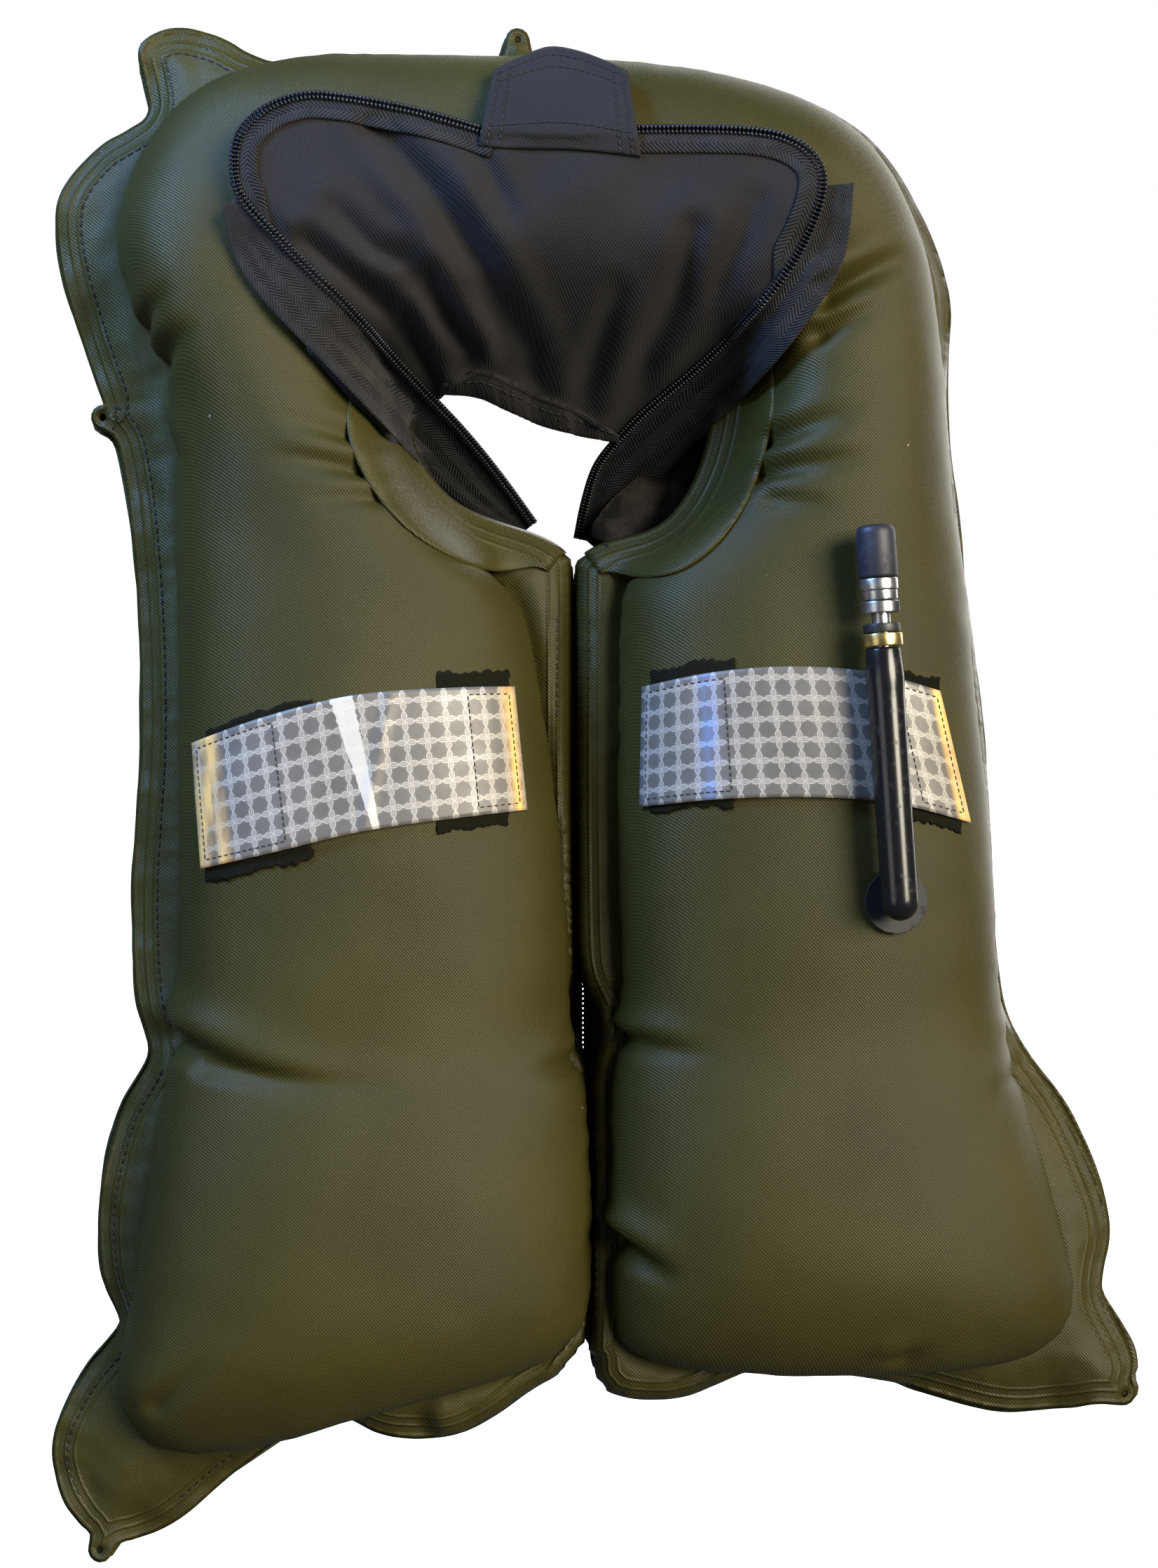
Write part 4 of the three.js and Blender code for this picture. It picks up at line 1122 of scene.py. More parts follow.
# Grooves between the folds of the collar cloth: points in X and Z, depth and width, in mm.
COLLAR_FOLDS = [
    ([(-79, 99), (-58, 76), (-39, 48), (-22, 20), (-19, 2)], 6.5, 5.5),
    ([(-106, 55), (-77, 34), (-60, 13)], 5.5, 4.5),
    ([(-69, 30), (-58, 5)], 3.5, 3.2),
    ([(-60, 44), (-54, 31), (-44, 19), (-48, 4)], 5, 3.6),
    ([(-40, 40), (-33, 26), (-30, 12)], 2.5, 3.5),
    ([(-95, 69), (-81, 54), (-67, 49), (-64, 38)], 2.2, 4),
    ([(-42, 93), (-28, 66)], 2.2, 4),
    ([(13, 38), (4, 15), (-2, -3)], 4, 4.5),
    ([(42, 60), (36, 36), (26, 20), (22, 4)], 4.5, 5),
    ([(66, 70), (54, 48), (50, 34)], 2, 5),
]


COLLAR_SPACING = 1.7 * MM


def polyline_distance(points, line):
    """Distance of each point from an open line given in mm, and how far along it, from 0 to 1."""
    best = np.full(len(points), 1e9)
    run = np.zeros(len(points))
    line = np.asarray(line, float) * MM
    for step, (a, b) in enumerate(zip(line[:-1], line[1:])):
        way = b - a
        share = np.clip((points - a) @ way / (way @ way), 0, 1)
        distance = np.hypot(*(points - a - share[:, None] * way).T)
        closer = distance < best
        best[closer] = distance[closer]
        run[closer] = (step + share[closer]) / (len(line) - 1)
    return best, run


def skin_of(tree, outline, spacing, rounds):
    """Points that fill an outline in X and Z, their depth on a surface, and the triangles."""
    points, faces = filled(outline, [], spacing)
    y = depths(tree, points)
    beside_it = np.isnan(y)
    known = kdtree.KDTree(len(y))
    for index in np.flatnonzero(~beside_it):
        known.insert((points[index][0], 0, points[index][1]), int(index))
    known.balance()
    for index in np.flatnonzero(beside_it):
        y[index] = y[known.find((points[index][0], 0, points[index][1]))[1]]
    return points, calmed(y, faces, rounds), faces


def zip_line(side):
    """The middle of a collar zipper's teeth, from the nape down to the neck gap."""
    line = grid_of(f"zip_chain_{side}", 300, 5)[2]
    line = line if line[0][2] > line[-1][2] else line[::-1]
    under_tab = line[0] + (line[0] - line[6]) * np.linspace(1.6, 0.1, 9)[:, None]
    return np.vstack([under_tab, line])


def nearest_on(line, points):
    """The nearest point of a line, and its distance, for each point in X and Z."""
    gaps = np.hypot(points[:, None, 0] - line[None, :, 0], points[:, None, 1] - line[None, :, 2])
    return line[gaps.argmin(1)], gaps.min(1)


def make_collar():
    """The neck cloth: sewn to the zipper and drawn into folds that run down towards its hem."""
    chains = np.vstack([zip_line("left"), zip_line("right")])
    line, tree = front_patch("collar_panel")
    outline = respaced(line[:, [0, 2]], COLLAR_SPACING)
    target, gap = nearest_on(chains, outline)
    pull = smoothstep((20 * MM - gap) / (8 * MM))[:, None]
    outline = respaced(outline + (target[:, [0, 2]] - outline) * pull, COLLAR_SPACING, 0)
    points, y, faces = skin_of(tree, outline, COLLAR_SPACING, 30)
    target, gap = nearest_on(chains, points)
    y += (target[:, 1] + 1.2 * MM - y) * (1 - smoothstep(gap / (11 * MM)))
    held = smoothstep(line_distance(points, outline) / (8 * MM))
    low, high = outline.min(0), outline.max(0)
    flat = lift(points, y)
    out = 1.6 * MM * field(flat, 24 * MM, 21.0) * held
    hem = smoothstep(1 - (points[:, 1] - low[1]) / (30 * MM))
    loose = np.maximum(held, hem * smoothstep(gap / (8 * MM)))
    for line, depth, width in COLLAR_FOLDS:
        distance, run = polyline_distance(points, line)
        swell = np.sin(math.pi * np.clip(0.12 + 0.8 * run, 0, 1)) ** 0.7
        groove = np.exp(-((distance / (width * MM)) ** 2))
        bank = np.exp(-(((distance - 2 * width * MM) / (1.1 * width * MM)) ** 2))
        out += depth * MM * swell * loose * (0.45 * bank - groove)
    out += 0.9 * MM * hem * loose * field(flat * (1, 0, 0.25), 7 * MM, 22.0)
    y = y - out - 1.0 * MM * held
    y = np.fmin(y, depths(front_tree, points) - 1.2 * MM)
    cloth = (BLACK, "black_fabric", ["collar_panel"])
    panel = sheet_over("collar_cloth", points, y, faces, 0.7 * MM, *cloth, offset=0.0)
    width, height = (high - low) * 1.08
    return tree_of(panel.data), lift(points, y)[: len(outline)]


def make_hem(collar_edge):
    """The turned hem along the neck edge, with a short double-stitched join."""
    rows = grid_of("collar_hem", 60, 12)
    target, _ = nearest_on(collar_edge, rows[0][:, [0, 2]])
    shift = target - rows[0]
    shift[:, 2] += 2.5 * MM
    fade = np.linspace(1, 0, len(rows)) ** 2
    for row, share in zip(rows, fade):
        row[:, [0, 2]] += shift[:, [0, 2]] * share
        row[:, 1] += shift[:, 1]
    reach = np.linspace(0.35, 1.4, 4)[None, :, None]
    before = rows[:, :1] + (rows[:, :1] - rows[:, 4:5]) * reach[:, ::-1]
    after = rows[:, -1:] + (rows[:, -1:] - rows[:, -5:-4]) * reach
    rows = np.concatenate([before, rows, after], 1)
    shape = np.sin(np.linspace(0.2, math.pi, len(rows))) ** 0.5
    for row, swell in zip(rows, shape):
        row[:, 1] -= 1.0 * MM * swell
        row[:, 1] += 0.6 * MM * field(row, 13 * MM, 23.0)
    hem = strip("collar_hem_cloth", rows, 1.4 * MM, BLACK, ["collar_hem"])
    tree = tree_of(hem.data)
    places = stitch_places(rows[4][:, [0, 2]], tree, gap=0.7)
    middle = rows[4:, 48]
    for shift in (-1.6 * MM, 1.6 * MM):
        join = middle[:, [0, 2]] + (shift, 0)
        places += stitch_places(join, tree, 2.4, 1.9, gap=0.7)
    beads("collar_hem_stitches", places, THREAD)


def make_tab(collar_tree):
    """The five-sided tab at the nape, sewn round in a box."""
    rows = grid_of("collar_tab", 40, 36)
    low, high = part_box("collar_tab")
    old = rows[:, :, 1].copy()
    rise = (rows[:, :, 2] - low.z) / (high.z - low.z)
    rows[:, :, 1] += 30 * MM * np.clip(rise - 0.15, 0, 1) ** 1.5
    for row in rows:
        row[:, 1] += 0.35 * MM * field(row, 12 * MM, 24.0)
    rows = lay_on(front_tree, rows, 1.8 * MM, True)
    sewn = 9  # rows that come down onto the collar cloth
    seam = lay_on(collar_tree, rows[-sewn:].copy(), 0.9 * MM)
    fade = np.linspace(0, 1, sewn)[:, None, None]
    rows[-sewn:] += (seam - rows[-sewn:]) * fade
    closer = (rows[:, :, 1] - old) / (old - CAMERA_PLACE[1])
    rows[:, :, 0] += (rows[:, :, 0] - CAMERA_PLACE[0]) * closer
    rows[:, :, 2] += (rows[:, :, 2] - CAMERA_PLACE[2]) * closer
    tab = strip("collar_tab_cloth", rows, 1.2 * MM, BLACK, ["collar_tab"])
    tree = tree_of(tab.data)
    lines = [rows[2:, column] for column in (2, 5, -6, -3)]
    lines += [rows[row, 2:-2] for row in (3, 7, 26)]
    places = []
    for line in lines:
        places += stitch_places(line[:, [0, 2]], tree, 2.6, 2.0, 0.75, 0.6)
    beads("collar_tab_stitches", places, THREAD)


def met(rows, line, steps=4):
    """A strip carried on from its nearer long edge to a line."""
    run = run_along(line)
    fine = sampled(line, run, np.linspace(0, run[-1], 900))

    def nearest(rail):
        gap = np.linalg.norm(rail[:, None] - fine[None], axis=2)
        return fine[gap.argmin(1)], gap.min(1).mean()

    first, last = nearest(rows[0]), nearest(rows[-1])
    if first[1] < last[1]:
        rows = rows[::-1]
        last = first
    added = [rows[-1] + (last[0] - rows[-1]) * share for share in np.linspace(0, 1, steps + 1)[1:]]
    return np.concatenate([rows, np.array(added)])


def beside(line, offsets):
    """Rows at distances in X and Z beside a line, on its left as it runs."""
    way = np.gradient(line[:, [0, 2]], axis=0)
    way /= np.hypot(*way.T)[:, None]
    rows = []
    for offset in offsets:
        row = line.copy()
        row[:, 0] -= way[:, 1] * offset
        row[:, 2] += way[:, 0] * offset
        rows.append(row)
    return np.array(rows)


# The head and the tail of a tooth: how far off its line, length, width and height, in mm.
TOOTH = ((0.9, 2.1, 1.15, 2.0), (-1.0, 1.7, 1.05, 1.6))
TOOTH_PITCH = 1.6 * MM


def make_zip_side(side, collar_tree):
    """One side of the collar zipper: teeth on their cord, outer tape and inner tape."""
    line = zip_line(side)
    seat = line + (0, 1.2 * MM, 0)
    rows = grid_of(f"zip_tape_{side}", 120, 14)
    foot = 0 if rows[0][0][2] < rows[0][-1][2] else -1
    gap = nearest_on(line, rows[:, foot][:, [0, 2]])
    drop = line[-1] - gap[0][gap[1].argmin()]
    added = rows[:, foot][:, None] + drop * np.linspace(0.15, 1, 8)[None, :, None]
    rows = np.concatenate([added[:, ::-1], rows] if foot == 0 else [rows, added], 1)
    tape = met(rows, seat)
    for row in tape:
        row[:, 1] += 0.5 * MM * field(row, 18 * MM, 25.0)
    tape = lay_on(front_tree, tape, 1.6 * MM, True)
    tape = lay_on(neckband_trees[side], tape, 1.8 * MM, True)
    strip(f"zip_tape_{side}_cloth", tape, 0.8 * MM, ZIP_TAPE, [f"zip_tape_{side}"])
    core = beside(seat, np.linspace(-2.1, 2.1, 5) * MM)
    strip(f"zip_core_{side}", core, 0.9 * MM, ZIP_TAPE)
    inward = 1 if side == "left" else -1
    reach = np.linspace(0, 9 * MM, 9)
    top = line[: int(len(line) * 0.46)]
    inner = beside(top, reach * inward)
    taper = smoothstep(np.linspace(7, 0, len(top)))
    for row in inner:
        row += (top - row) * (1 - taper)[:, None]
        row[:, 1] = top[:, 1] + 0.9 * MM
    inner = lay_on(collar_tree, inner, 0.9 * MM, True)
    node = f"zip_inner_tape_{side}"
    strip(node + "_cloth", inner, 0.8 * MM, ZIP_TAPE, [node])
    run = run_along(line)
    left, right = beside(line, (MM, -MM))
    at = np.arange(TOOTH_PITCH / 2, run[-1], TOOTH_PITCH)
    stations = ((line, at), (line, at + TOOTH_PITCH), (left, at), (right, at))
    places = []
    for station in zip(*(sampled(row, run, place) for row, place in stations)):
        here, ahead, one, other = map(Vector, station)
        across = (one - other).normalized()
        normal = (ahead - here).cross(across)
        if normal.y > 0:
            normal = -normal
        normal.normalize()
        for off, *size in TOOTH:
            centre = here + normal * 0.4 * MM + across * off * MM
            places.append((centre, across, normal, *(extent * MM for extent in size)))
    teeth = beads(f"zip_teeth_{side}", places, TEETH, 8, 5)
    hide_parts(f"zip_chain_{side}")


def make_neck_lining():
    """Dark cloth that closes the left of the neck, from the outer tape back to the backing."""
    tape = grid_of("zip_tape_left", 120, 14)
    chain = zip_line("left")
    rails = [tape[0], tape[-1]]
    rail = max(rails, key=lambda line: nearest_on(chain, line[:, [0, 2]])[1].mean())
    front_edge = rail[rail[:, 2] < 18 * MM]
    front_edge = front_edge[np.argsort(-front_edge[:, 2])]
    x, z = panel_outline.T
    back_edge = panel_outline[(x > -90 * MM) & (x < -12 * MM) & (z > -56 * MM) & (z < 12 * MM)]
    back_edge = back_edge[np.argsort(-back_edge[:, 1])]
    near, far = (
        sampled(edge, np.linspace(0, 1, len(edge)), np.linspace(0, 1, 40))
        for edge in (front_edge, back_edge)
    )
    near[:, 1] += 2 * MM
    far = lift(far - 2 * MM, 26 * MM)
    rows = np.array([near + (far - near) * v for v in np.linspace(0, 1, 16)])
    for row, v in zip(rows, np.linspace(0, 1, 16)):
        sag = math.sin(math.pi * v)
        row[:, 0] -= 7 * MM * sag
        row[:, 2] -= 5 * MM * sag
        row[:, 0] += 1.6 * MM * sag * field(row, 12 * MM, 51.0)
    strip("neck_lining_left", rows, 0.8 * MM, BLACK)


NECKBAND_WIDTH = 21 * MM


def make_neckband(side):
    """The smooth band round the neckline: it lies over the cell's edge and rolls back inside."""
    sign = -1 if side == "left" else 1
    x, z = flange_outline.T
    on_side = (x + 4 * MM) * sign > 3 * MM
    line = flange_outline[on_side & at_neck & (z < 34 * MM) & (z > -63 * MM)]
    line = line[np.argsort(-line[:, 1])]
    line = eased(lift(line), 110)
    share = np.linspace(0, 1, len(line))
    for _ in range(30):
        line[1:-1] = 0.5 * line[1:-1] + 0.25 * (line[2:] + line[:-2])
    width = 1 - 0.5 * smoothstep((share - 0.8) / 0.2)
    across = np.linspace(-0.06, 1, 20)
    rows = beside(line, [sign * v * NECKBAND_WIDTH * width for v in across])
    under = np.nan_to_num(np.fmin(depths(front_tree, rows), depths(flange_tree, rows)))
    depth = under.copy()
    for r in range(len(rows) - 2, -1, -1):
        depth[r][under[r] == 0] = depth[r + 1][under[r] == 0]
    for _ in range(70):
        clear_of = np.minimum(under, 0) - 0.9 * MM
        depth = np.minimum(0.4 * depth + 0.15 * neighbours(depth), clear_of)
    for _ in range(4):
        depth = 0.4 * depth + 0.15 * neighbours(depth)
    depth -= 0.5 * MM
    from_edge = np.abs(across - across[0])[:, None] * NECKBAND_WIDTH * width[None]
    from_end = (1 - share)[None] * run_along(line)[-1]
    for gap, roll in ((from_edge, ROLL), (from_end, 0.8 * ROLL)):
        bend = np.clip(1 - gap / roll, 0, 1)
        depth = depth + roll * (1 - np.sqrt(1 - bend**2))
    rows[:, :, 1] = depth
    name = f"neckband_{side}_cloth"
    band = strip(name, rows, 1.1 * MM, OLIVE_SEAM, values={"from_edge": from_edge})
    return tree_of(band.data)


neckband_trees = {zip_side: make_neckband(zip_side) for zip_side in ("left", "right")}
collar_front, collar_edge = make_collar()
make_hem(collar_edge)
make_tab(collar_front)
for zip_side in ("left", "right"):
    make_zip_side(zip_side, collar_front)
make_neck_lining()

# ---- reflective tapes and their patches ---------------------------------------------------


def make_tape(side):
    rows = grid_of(f"reflective_tape_{side}", 90, 34, 3)
    lay_on(front_tree, rows, 2.3 * MM)
    flat = rows.reshape(-1, 3)
    flat[:, 1] -= 0.5 * MM * field(flat, 26 * MM, 31.0)
    if side == "left":
        x, _, z = flat.T
        off_kink = x - 0.5 * (x.min() + x.max()) - 8 * MM - 0.2 * (z - z.mean())
        flat[:, 1] -= 1.1 * MM * np.exp(-((off_kink / (2.2 * MM)) ** 2))
    name = f"reflective_tape_{side}_film"
    u, v = lengths_of(rows)
    from_left, from_right = u, u.max() - u
    outer_end, inner_end = (from_left, from_right) if side == "left" else (from_right, from_left)
    # Painted reflections: a gold glint at the outer end of each tape and near the left tape's inner end, and a
    # band of blue glints on the right tape.
    reach = 15 * MM if side == "left" else 6 * MM
    painted_gold_glint = 1 - smoothstep((outer_end / reach - 0.7) / 0.6)
    painted_blue_glint = worn = u * 0
    if side == "left":
        painted_gold_glint += np.exp(-(((inner_end - 4 * MM) / (3.2 * MM)) ** 2))
        slant = u - u.max() * 0.52 + 0.16 * (rows[:, :, 2] - rows[:, :, 2].mean())
        half = (3.6 + 1.8 * np.linspace(1, -1, len(rows)))[:, None] * MM
        worn = smoothstep(1.35 - np.abs(slant) / half)
    else:
        painted_blue_glint = np.exp(-(((from_left - 33 * MM) / (3.4 * MM)) ** 2))
    values = {"painted_gold_glint": np.minimum(painted_gold_glint, 1), "painted_blue_glint": painted_blue_glint, "worn": worn}
    tape = strip(name, rows, 0.5 * MM, FILM, [f"reflective_tape_{side}"], values)
    tree = tree_of(tape.data)
    places = []
    inset = 2
    count, steps = rows.shape[:2]
    top, bottom = inset, count - 1 - inset
    far_box = steps - (15 if side == "left" else 16)
    for left, right in ((inset, 26), (far_box, steps - 1 - inset)):
        along, down = slice(left, right + 1), slice(top, bottom + 1)
        for line in (rows[top, along], rows[down, right], rows[bottom, along], rows[down, left]):
            places += stitch_places(line[:, [0, 2]], tree, 2.5, 1.7, 0.5, 0.3)
    beads(f"reflective_tape_{side}_stitches", places, THREAD)
    return rows


# How far each patch shows above and below its tape, in mm.
PATCH_SHOWS = {
    "tape_patch_left_outer": (2.5, 6.5),
    "tape_patch_left_inner": (6, 5),
    "tape_patch_right_inner": (5, 3),
    "tape_patch_right_outer": (4.5, 5),
}


def make_patch(name):
    """A glued patch with a ragged edge, which peeps out above and below its tape."""
    rows = grid_of(name, 50, 64)
    tape = tape_rows[name.split("_")[-2]]
    above, below = (rim * MM for rim in PATCH_SHOWS[name])
    low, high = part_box(name)
    for row in rows:
        top = np.interp(row[:, 0], tape[0, :, 0], tape[0, :, 2]) + above
        bottom = np.interp(row[:, 0], tape[-1, :, 0], tape[-1, :, 2]) - below
        share = np.clip((row[:, 2] - low.z) / (high.z - low.z), 0, 1)
        row[:, 2] = bottom + (top - bottom) * share
        for end, clip in ((0, np.maximum), (-1, np.minimum)):
            rail = tape[::-1, end]
            row[:, 0] = clip(row[:, 0], np.interp(row[:, 2], rail[:, 2], rail[:, 0]))
    lay_on(front_tree, rows, 0.6 * MM)
    flat = rows.reshape(-1, 3)
    inwards = [np.minimum(np.arange(count), np.arange(count)[::-1]) for count in rows.shape[:2]]
    rim = np.exp(-np.minimum.outer(*inwards) / 1.5).ravel()
    flat[:, 0] += 1.2 * MM * rim * field(flat * (0.4, 0, 1), 3.1 * MM, 33.0)
    flat[:, 2] += rim * (1.3 * MM * field(flat * (1, 0, 0.3), 1.8 * MM, 34.0))
    flat[:, 2] += rim * (1.6 * MM * field(flat * (1, 0, 0.3), 9 * MM, 35.0))
    strip(name + "_cloth", rows, 0.5 * MM, PATCH, [name])


tape_rows = {tape_side: make_tape(tape_side) for tape_side in ("left", "right")}
for patch in PATCH_SHOWS:
    make_patch(patch)

# ---- stitching and tabs on the rim --------------------------------------------------------


def inset_line(loop, inset, wanted):
    """The stretches of a closed line, moved inwards, whose points are wanted."""
    moved = loop + inset * square_to(loop, 2)
    if within(moved, loop).mean() < 0.5:
        moved = 2 * loop - moved
    chosen = np.array([wanted(*(point / MM)) for point in moved])
    breaks = np.flatnonzero(np.diff(chosen)) + 1
    stretches = zip(np.split(moved, breaks), np.split(chosen, breaks))
    return [line for line, whole in stretches if whole[0] and len(line) > 6]


def make_rim_stitches():
    places = []
    outer = [
        (11 * MM, lambda x, z: x < -140 and -250 < z < 150),
        (7 * MM, lambda x, z: x < -140 and -440 < z < -262),
        (9 * MM, lambda x, z: x > 120 and -240 < z < 60),
        (6 * MM, lambda x, z: abs(x) < 12 and -125 < z < -82),
    ]
    for inset, wanted in outer:
        for line in inset_line(flange_outline, inset, wanted):
            places += stitch_places(line, flange_tree, 3.6, 2.7, 0.85)
    beads("rim_stitches", places, THREAD)


make_rim_stitches()


def make_back_sewing():
    """Patches under the two inflators, and the rows of stitching on the backing cloth."""
    places = []
    for line in inset_line(panel_outline, 11 * MM, lambda x, z: z < 140):
        places += stitch_places(line, panel_tree, 4, 2.9, 0.8, 0.2, 1)
    for side in ("left", "right"):
        low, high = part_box(f"case_zip_tape_{side}")
        for inset in (2.5 * MM, 5 * MM):
            x = low.x + inset if side == "left" else high.x - inset
            for z in np.arange(low.z + 2 * MM, high.z, 3.4 * MM):
                centre = Vector((x, high.y + 0.1 * MM, z))
                places.append((centre, Vector((0, 0, 1)), -FRONT, 2.6 * MM, 0.7 * MM, 0.7 * MM))
        low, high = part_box(f"inflator_base_{side}")
        middle, half = (low + high) / 2, 36 * MM
        turn = np.linspace(0, 2 * math.pi, 72, endpoint=False)
        shape = np.stack([np.cos(turn), np.sin(turn)], 1)
        shape = np.sign(shape) * np.abs(shape) ** 0.45
        corner = shape * half + (middle.x, middle.z)
        points, faces = filled(corner, [], 3 * MM)
        y = depths(panel_tree, points, 1) + 0.25 * MM
        y[np.isnan(y)] = high.y
        cloth = (BLACK, "black_fabric")
        sheet_over(f"backing_patch_{side}", points, y, faces, 0.3 * MM, *cloth, offset=0.0)
        for inset in (3 * MM, 6 * MM):
            ring = shape * (half - inset) + (middle.x, middle.z)
            ring = np.vstack([ring, ring[:1]])
            places += stitch_places(ring, panel_tree, 3.2, 2.4, 0.7, 0.6, 1)
    beads("backing_stitches", places, THREAD)


make_back_sewing()

# ---- turned pieces ------------------------------------------------------------------------


def meridian(node, centre, axis):
    """The profile of a round node about an axis.

    Gives its (radius, height) points, whether they close, and the turn back to the axis.
    """
    bm = welded(node)
    turn = axis.rotation_difference(Vector((0, 0, 1))).to_matrix()
    for vertex in bm.verts:
        vertex.co = turn @ (vertex.co - centre)
    rim = max(bm.verts, key=lambda v: round(math.hypot(v.co.x, v.co.y), 6))
    angle = math.atan2(rim.co.y, rim.co.x)

    def on_line(v):
        radius = math.hypot(v.co.x, v.co.y)
        if radius < 0.05 * MM:
            return True
        swing = (math.atan2(v.co.y, v.co.x) - angle + math.pi) % (2 * math.pi) - math.pi
        return abs(swing) < 0.02

    chosen = {v.index for v in bm.verts if on_line(v)}
    links = {i: [] for i in chosen}
    for edge in bm.edges:
        a, b = edge.verts
        if a.index in chosen and b.index in chosen:
            links[a.index].append(b.index)
            links[b.index].append(a.index)
    bm.verts.ensure_lookup_table()
    ends = sorted(i for i in links if len(links[i]) == 1)
    start = min(ends, key=lambda i: bm.verts[i].co.z) if ends else min(links)
    line = [start]
    while True:
        onward = [i for i in links[line[-1]] if i not in line]
        if not onward:
            break
        line.append(onward[0])
    profile = [(math.hypot(bm.verts[i].co.x, bm.verts[i].co.y), bm.verts[i].co.z) for i in line]
    bm.free()
    return profile, not ends, turn.inverted()


def softened(profile, closed, radius):
    """Cuts each corner of a profile with a small round."""
    made = []
    count = len(profile)
    for i, point in enumerate(profile):
        if not closed and i in (0, count - 1):
            made.append(point)
            continue
        here = Vector(point)
        before, after = Vector(profile[i - 1]), Vector(profile[(i + 1) % count])
        reach = min(radius, 0.4 * (before - here).length, 0.4 * (after - here).length)
        a = here + (before - here).normalized() * reach
        b = here + (after - here).normalized() * reach
        for share in (0, 0.5, 1):
            rounded_off = (1 - share) ** 2 * a + 2 * share * (1 - share) * here + share**2 * b
            made.append(tuple(rounded_off))
    return made


def turned(node, centre, axis, material, body="vest", segments=64, soft=0.25, knurl=None):
    """A round node made again with a fine skin, its corners softened by a radius in mm.

    A knurl is its lowest and highest height, its depth and the least radius that it cuts.
    """
    profile, closed, back = meridian(node, centre, axis)
    profile = softened(profile, closed, soft * MM)
    points = []
    faces = []
    for radius, height in profile:
        for s in range(segments):
            angle = 2 * math.pi * s / segments
            r = radius
            if knurl and knurl[0] < height < knurl[1] and radius > knurl[3]:
                r = radius - (s % 2) * knurl[2]
            place = Vector((r * math.cos(angle), r * math.sin(angle), height))
            points.append(back @ place + centre)
    rings = len(profile)
    for r in range(rings if closed else rings - 1):
        for s in range(segments):
            a = r * segments + s
            b = r * segments + (s + 1) % segments
            c = ((r + 1) % rings) * segments
            faces.append((a, b, c + (s + 1) % segments, c + s))
    mesh = make_mesh(node + "_turned", points, faces)
    bm = bmesh.new()
    bm.from_mesh(mesh)
    bmesh.ops.remove_doubles(bm, verts=bm.verts, dist=0.005 * MM)
    bmesh.ops.dissolve_degenerate(bm, edges=bm.edges, dist=0.001 * MM)
    bmesh.ops.recalc_face_normals(bm, faces=bm.faces)
    bm.to_mesh(mesh)
    bm.free()
    put(node + "_turned", mesh, material, [node], body)


joints = {joint["name"]: joint for joint in frame["joints"]}
tube_foot = Vector(joints["tube_lift"]["pos_m"])
tube_axis = Vector(joints["lock_ring_turn"]["axis"]).normalized()


def along_tube(node):
    """The lowest and highest reach of a node along the oral tube."""
    bm = welded(node)
    heights = [(v.co - tube_foot).dot(tube_axis) for v in bm.verts]
    bm.free()
    return min(heights), max(heights)


def make_valve():
    low, high = along_tube("lock_ring")
    edge = 0.5 * MM
    knurl = (low + edge, high - edge, 0.22 * MM, 6 * MM)
    for node, material, slot, body, segments, soft in (
        ("oral_tube", RUBBER, "black_rubber", "oral_tube", 64, 2.0),
        ("tube_clamp", BRASS, "brass", "oral_tube", 64, 0.3),
        ("valve_ferrule", PLASTIC, "black_plastic", "oral_tube", 64, 0.4),
        ("valve_neck", NICKEL, "nickel", "oral_tube", 64, 0.25),
        ("lock_ring", NICKEL, "nickel", "lock_ring", 144, 0.6),
        ("valve_housing", NICKEL, "nickel", "mouthpiece", 144, 0.4),
        ("mouthpiece", MOUTH_RUBBER, "black_rubber", "mouthpiece", 64, 1.4),
    ):
        cut = knurl if node == "lock_ring" else None
        turned(node, tube_foot, tube_axis, material, body, segments, soft, cut)


def make_inflators():
    for side in ("left", "right"):
        low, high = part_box(f"gas_cylinder_{side}")
        middle = (low + high) / 2
        up = Vector((0, 0, 1))
        turned(f"gas_cylinder_{side}", middle, up, STEEL, f"cylinder_{side}", soft=2.5)
        low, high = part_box(f"inflator_stem_{side}")
        centre = (low + high) / 2
        for part, material, slot, soft in (
            ("base", MOUTH_RUBBER, "black_rubber", 0.8),
            ("gasket", RED, "red_plastic", 0.3),
            ("stem", NICKEL, "nickel", 0.4),
        ):
            node = f"inflator_{part}_{side}"
            turned(node, centre, Vector((0, 1, 0)), material, soft=soft)


make_valve()
make_inflators()

# ---- pile facing and the case zipper ------------------------------------------------------


def make_pile():
    """Pile cloth lining the neck, from the backing forward to the right outer tape."""
    low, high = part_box("pile_facing")
    spacing = 2.0 * MM
    outline = respaced(flat_loops("pile_facing")[0], spacing)
    way = np.array([-0.7071, 0.7071])
    corner = np.array([high.x, low.z])
    outward = (outline - corner) @ way
    outline = outline + way * (11 * MM * smoothstep((outward - 20 * MM) / (6 * MM)))[:, None]
    points, faces = filled(outline, [], spacing)
    share = smoothstep((points - corner) @ way / (46 * MM))
    flat = lift(points)
    y = low.y - 3 * MM - 44 * MM * share
    y = y + 3.5 * MM * field(flat, 15 * MM, 41.0) + 0.8 * MM * field(flat, 6 * MM, 42.0)
    cloth = (PILE, "pile_fabric", ["pile_facing"])
    sheet_over("pile_facing_cloth", points, y, faces, 1.5 * MM, *cloth)


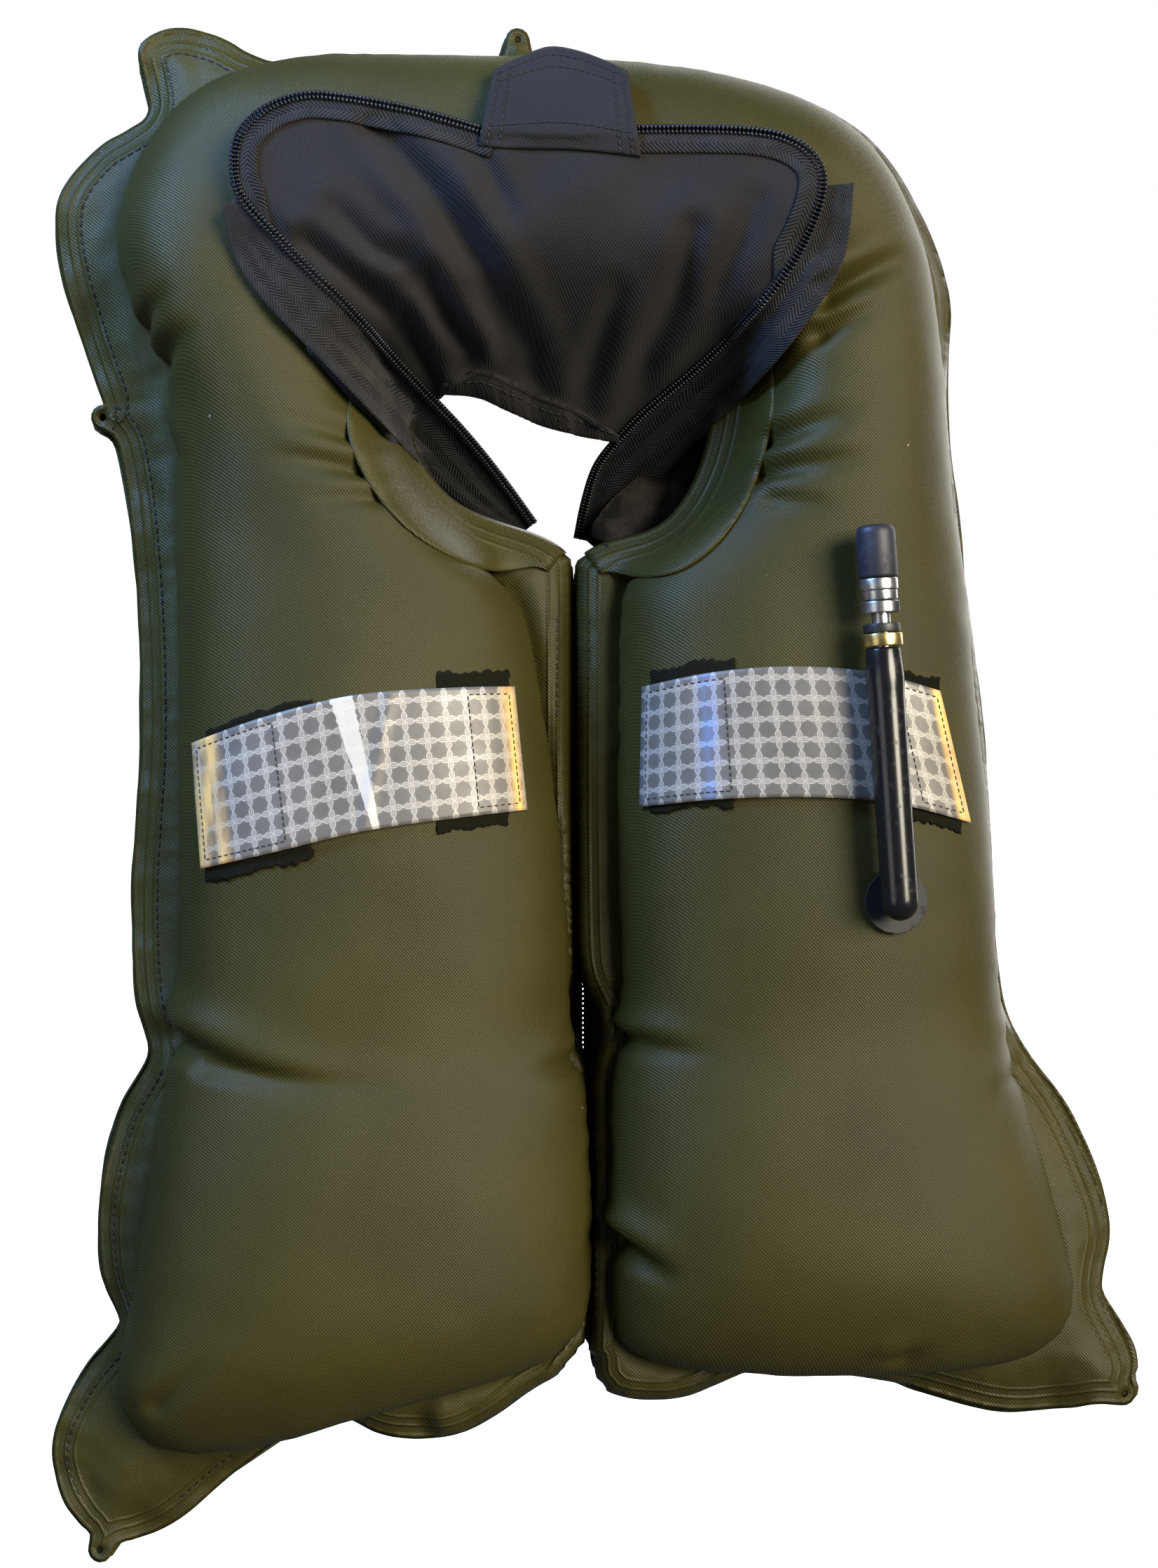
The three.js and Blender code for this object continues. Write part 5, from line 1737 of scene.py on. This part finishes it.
def make_case_zip():
    for side in ("left", "right"):
        node = f"case_zip_tape_{side}"
        low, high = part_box(node)
        far, near = (low.x, -0.3 * MM) if side == "left" else (high.x, 0.3 * MM)
        count, steps = 8, 120
        rows = np.zeros((count, steps, 3))
        rows[..., 0] = np.linspace(far, near, count)[:, None]
        rows[..., 1] = (low.y + high.y) / 2
        rows[..., 2] = np.linspace(low.z, high.z, steps)
        flat = rows.reshape(-1, 3)
        flat[:, 1] += 0.35 * MM * field(flat, 24 * MM, 43.0)
        strip(node + "_cloth", rows, 0.9 * MM, ZIP_TAPE, [node])
    low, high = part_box("case_zip_chain")
    pitch = 2.1 * MM
    middle, size = (low + high) / 2, high - low
    places = []
    for z in np.arange(low.z + pitch / 2, high.z, pitch):
        centre = Vector((middle.x, middle.y, z))
        places.append((centre, Vector((1, 0, 0)), -FRONT, size.x, 1.4 * MM, size.y))
    teeth = beads("case_zip_teeth", places, TEETH, 8, 6)
    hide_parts("case_zip_chain")


make_pile()
make_case_zip()

# ---- the CAD nodes that stay --------------------------------------------------------------

KEPT = {
    "black_rubber": RUBBER,
    "nickel": NICKEL,
    "steel": STEEL,
    "black_plastic": PLASTIC,
    "red_plastic": RED,
    "black_fabric": BLACK,
    "zip_tape": ZIP_TAPE,
    "zip_teeth": TEETH,
}


def finish_nodes():
    slots = {part["node"]: part["material_slot"] for part in frame["record"]["subparts"]}
    for name, node in frame["nodes"].items():
        if node.hide_render:
            continue
        node.data.materials.clear()
        node.data.materials.append(FOOT_RUBBER if name == "oral_flange" else KEPT[slots[name]])
        weld = node.modifiers.new("weld", "WELD")
        weld.merge_threshold = WELD_GAP
        bevel = node.modifiers.new("edges", "BEVEL")
        bevel.width = 0.4 * MM
        bevel.segments = 2
        bevel.limit_method = "ANGLE"
        bevel.harden_normals = False


finish_nodes()

# ---- floor, camera and lights -------------------------------------------------------------


def make_floor():
    low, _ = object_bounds()
    bpy.ops.mesh.primitive_plane_add(size=60, location=(0, 0, low.z - FLOOR_GAP))
    floor = bpy.context.object
    floor.name = "floor"
    floor.visible_diffuse = False
    floor.visible_glossy = False
    glow = {"Emission_Strength": 0.95, "Emission_Color": (0.98, 0.98, 1.0, 1)}
    material, tree, shader, where = new_material(
        "pale_floor", 0.8, Specular_IOR_Level=0.0, **glow
    )
    tone = noise_at(tree, where, 3.0)
    colour = mix_colour(tree, tone, (0.66, 0.66, 0.65, 1), (0.7, 0.7, 0.69, 1))
    tree.links.new(colour, shader.inputs["Base Color"])
    floor.data.materials.append(material)


make_camera()
make_studio()
make_floor()
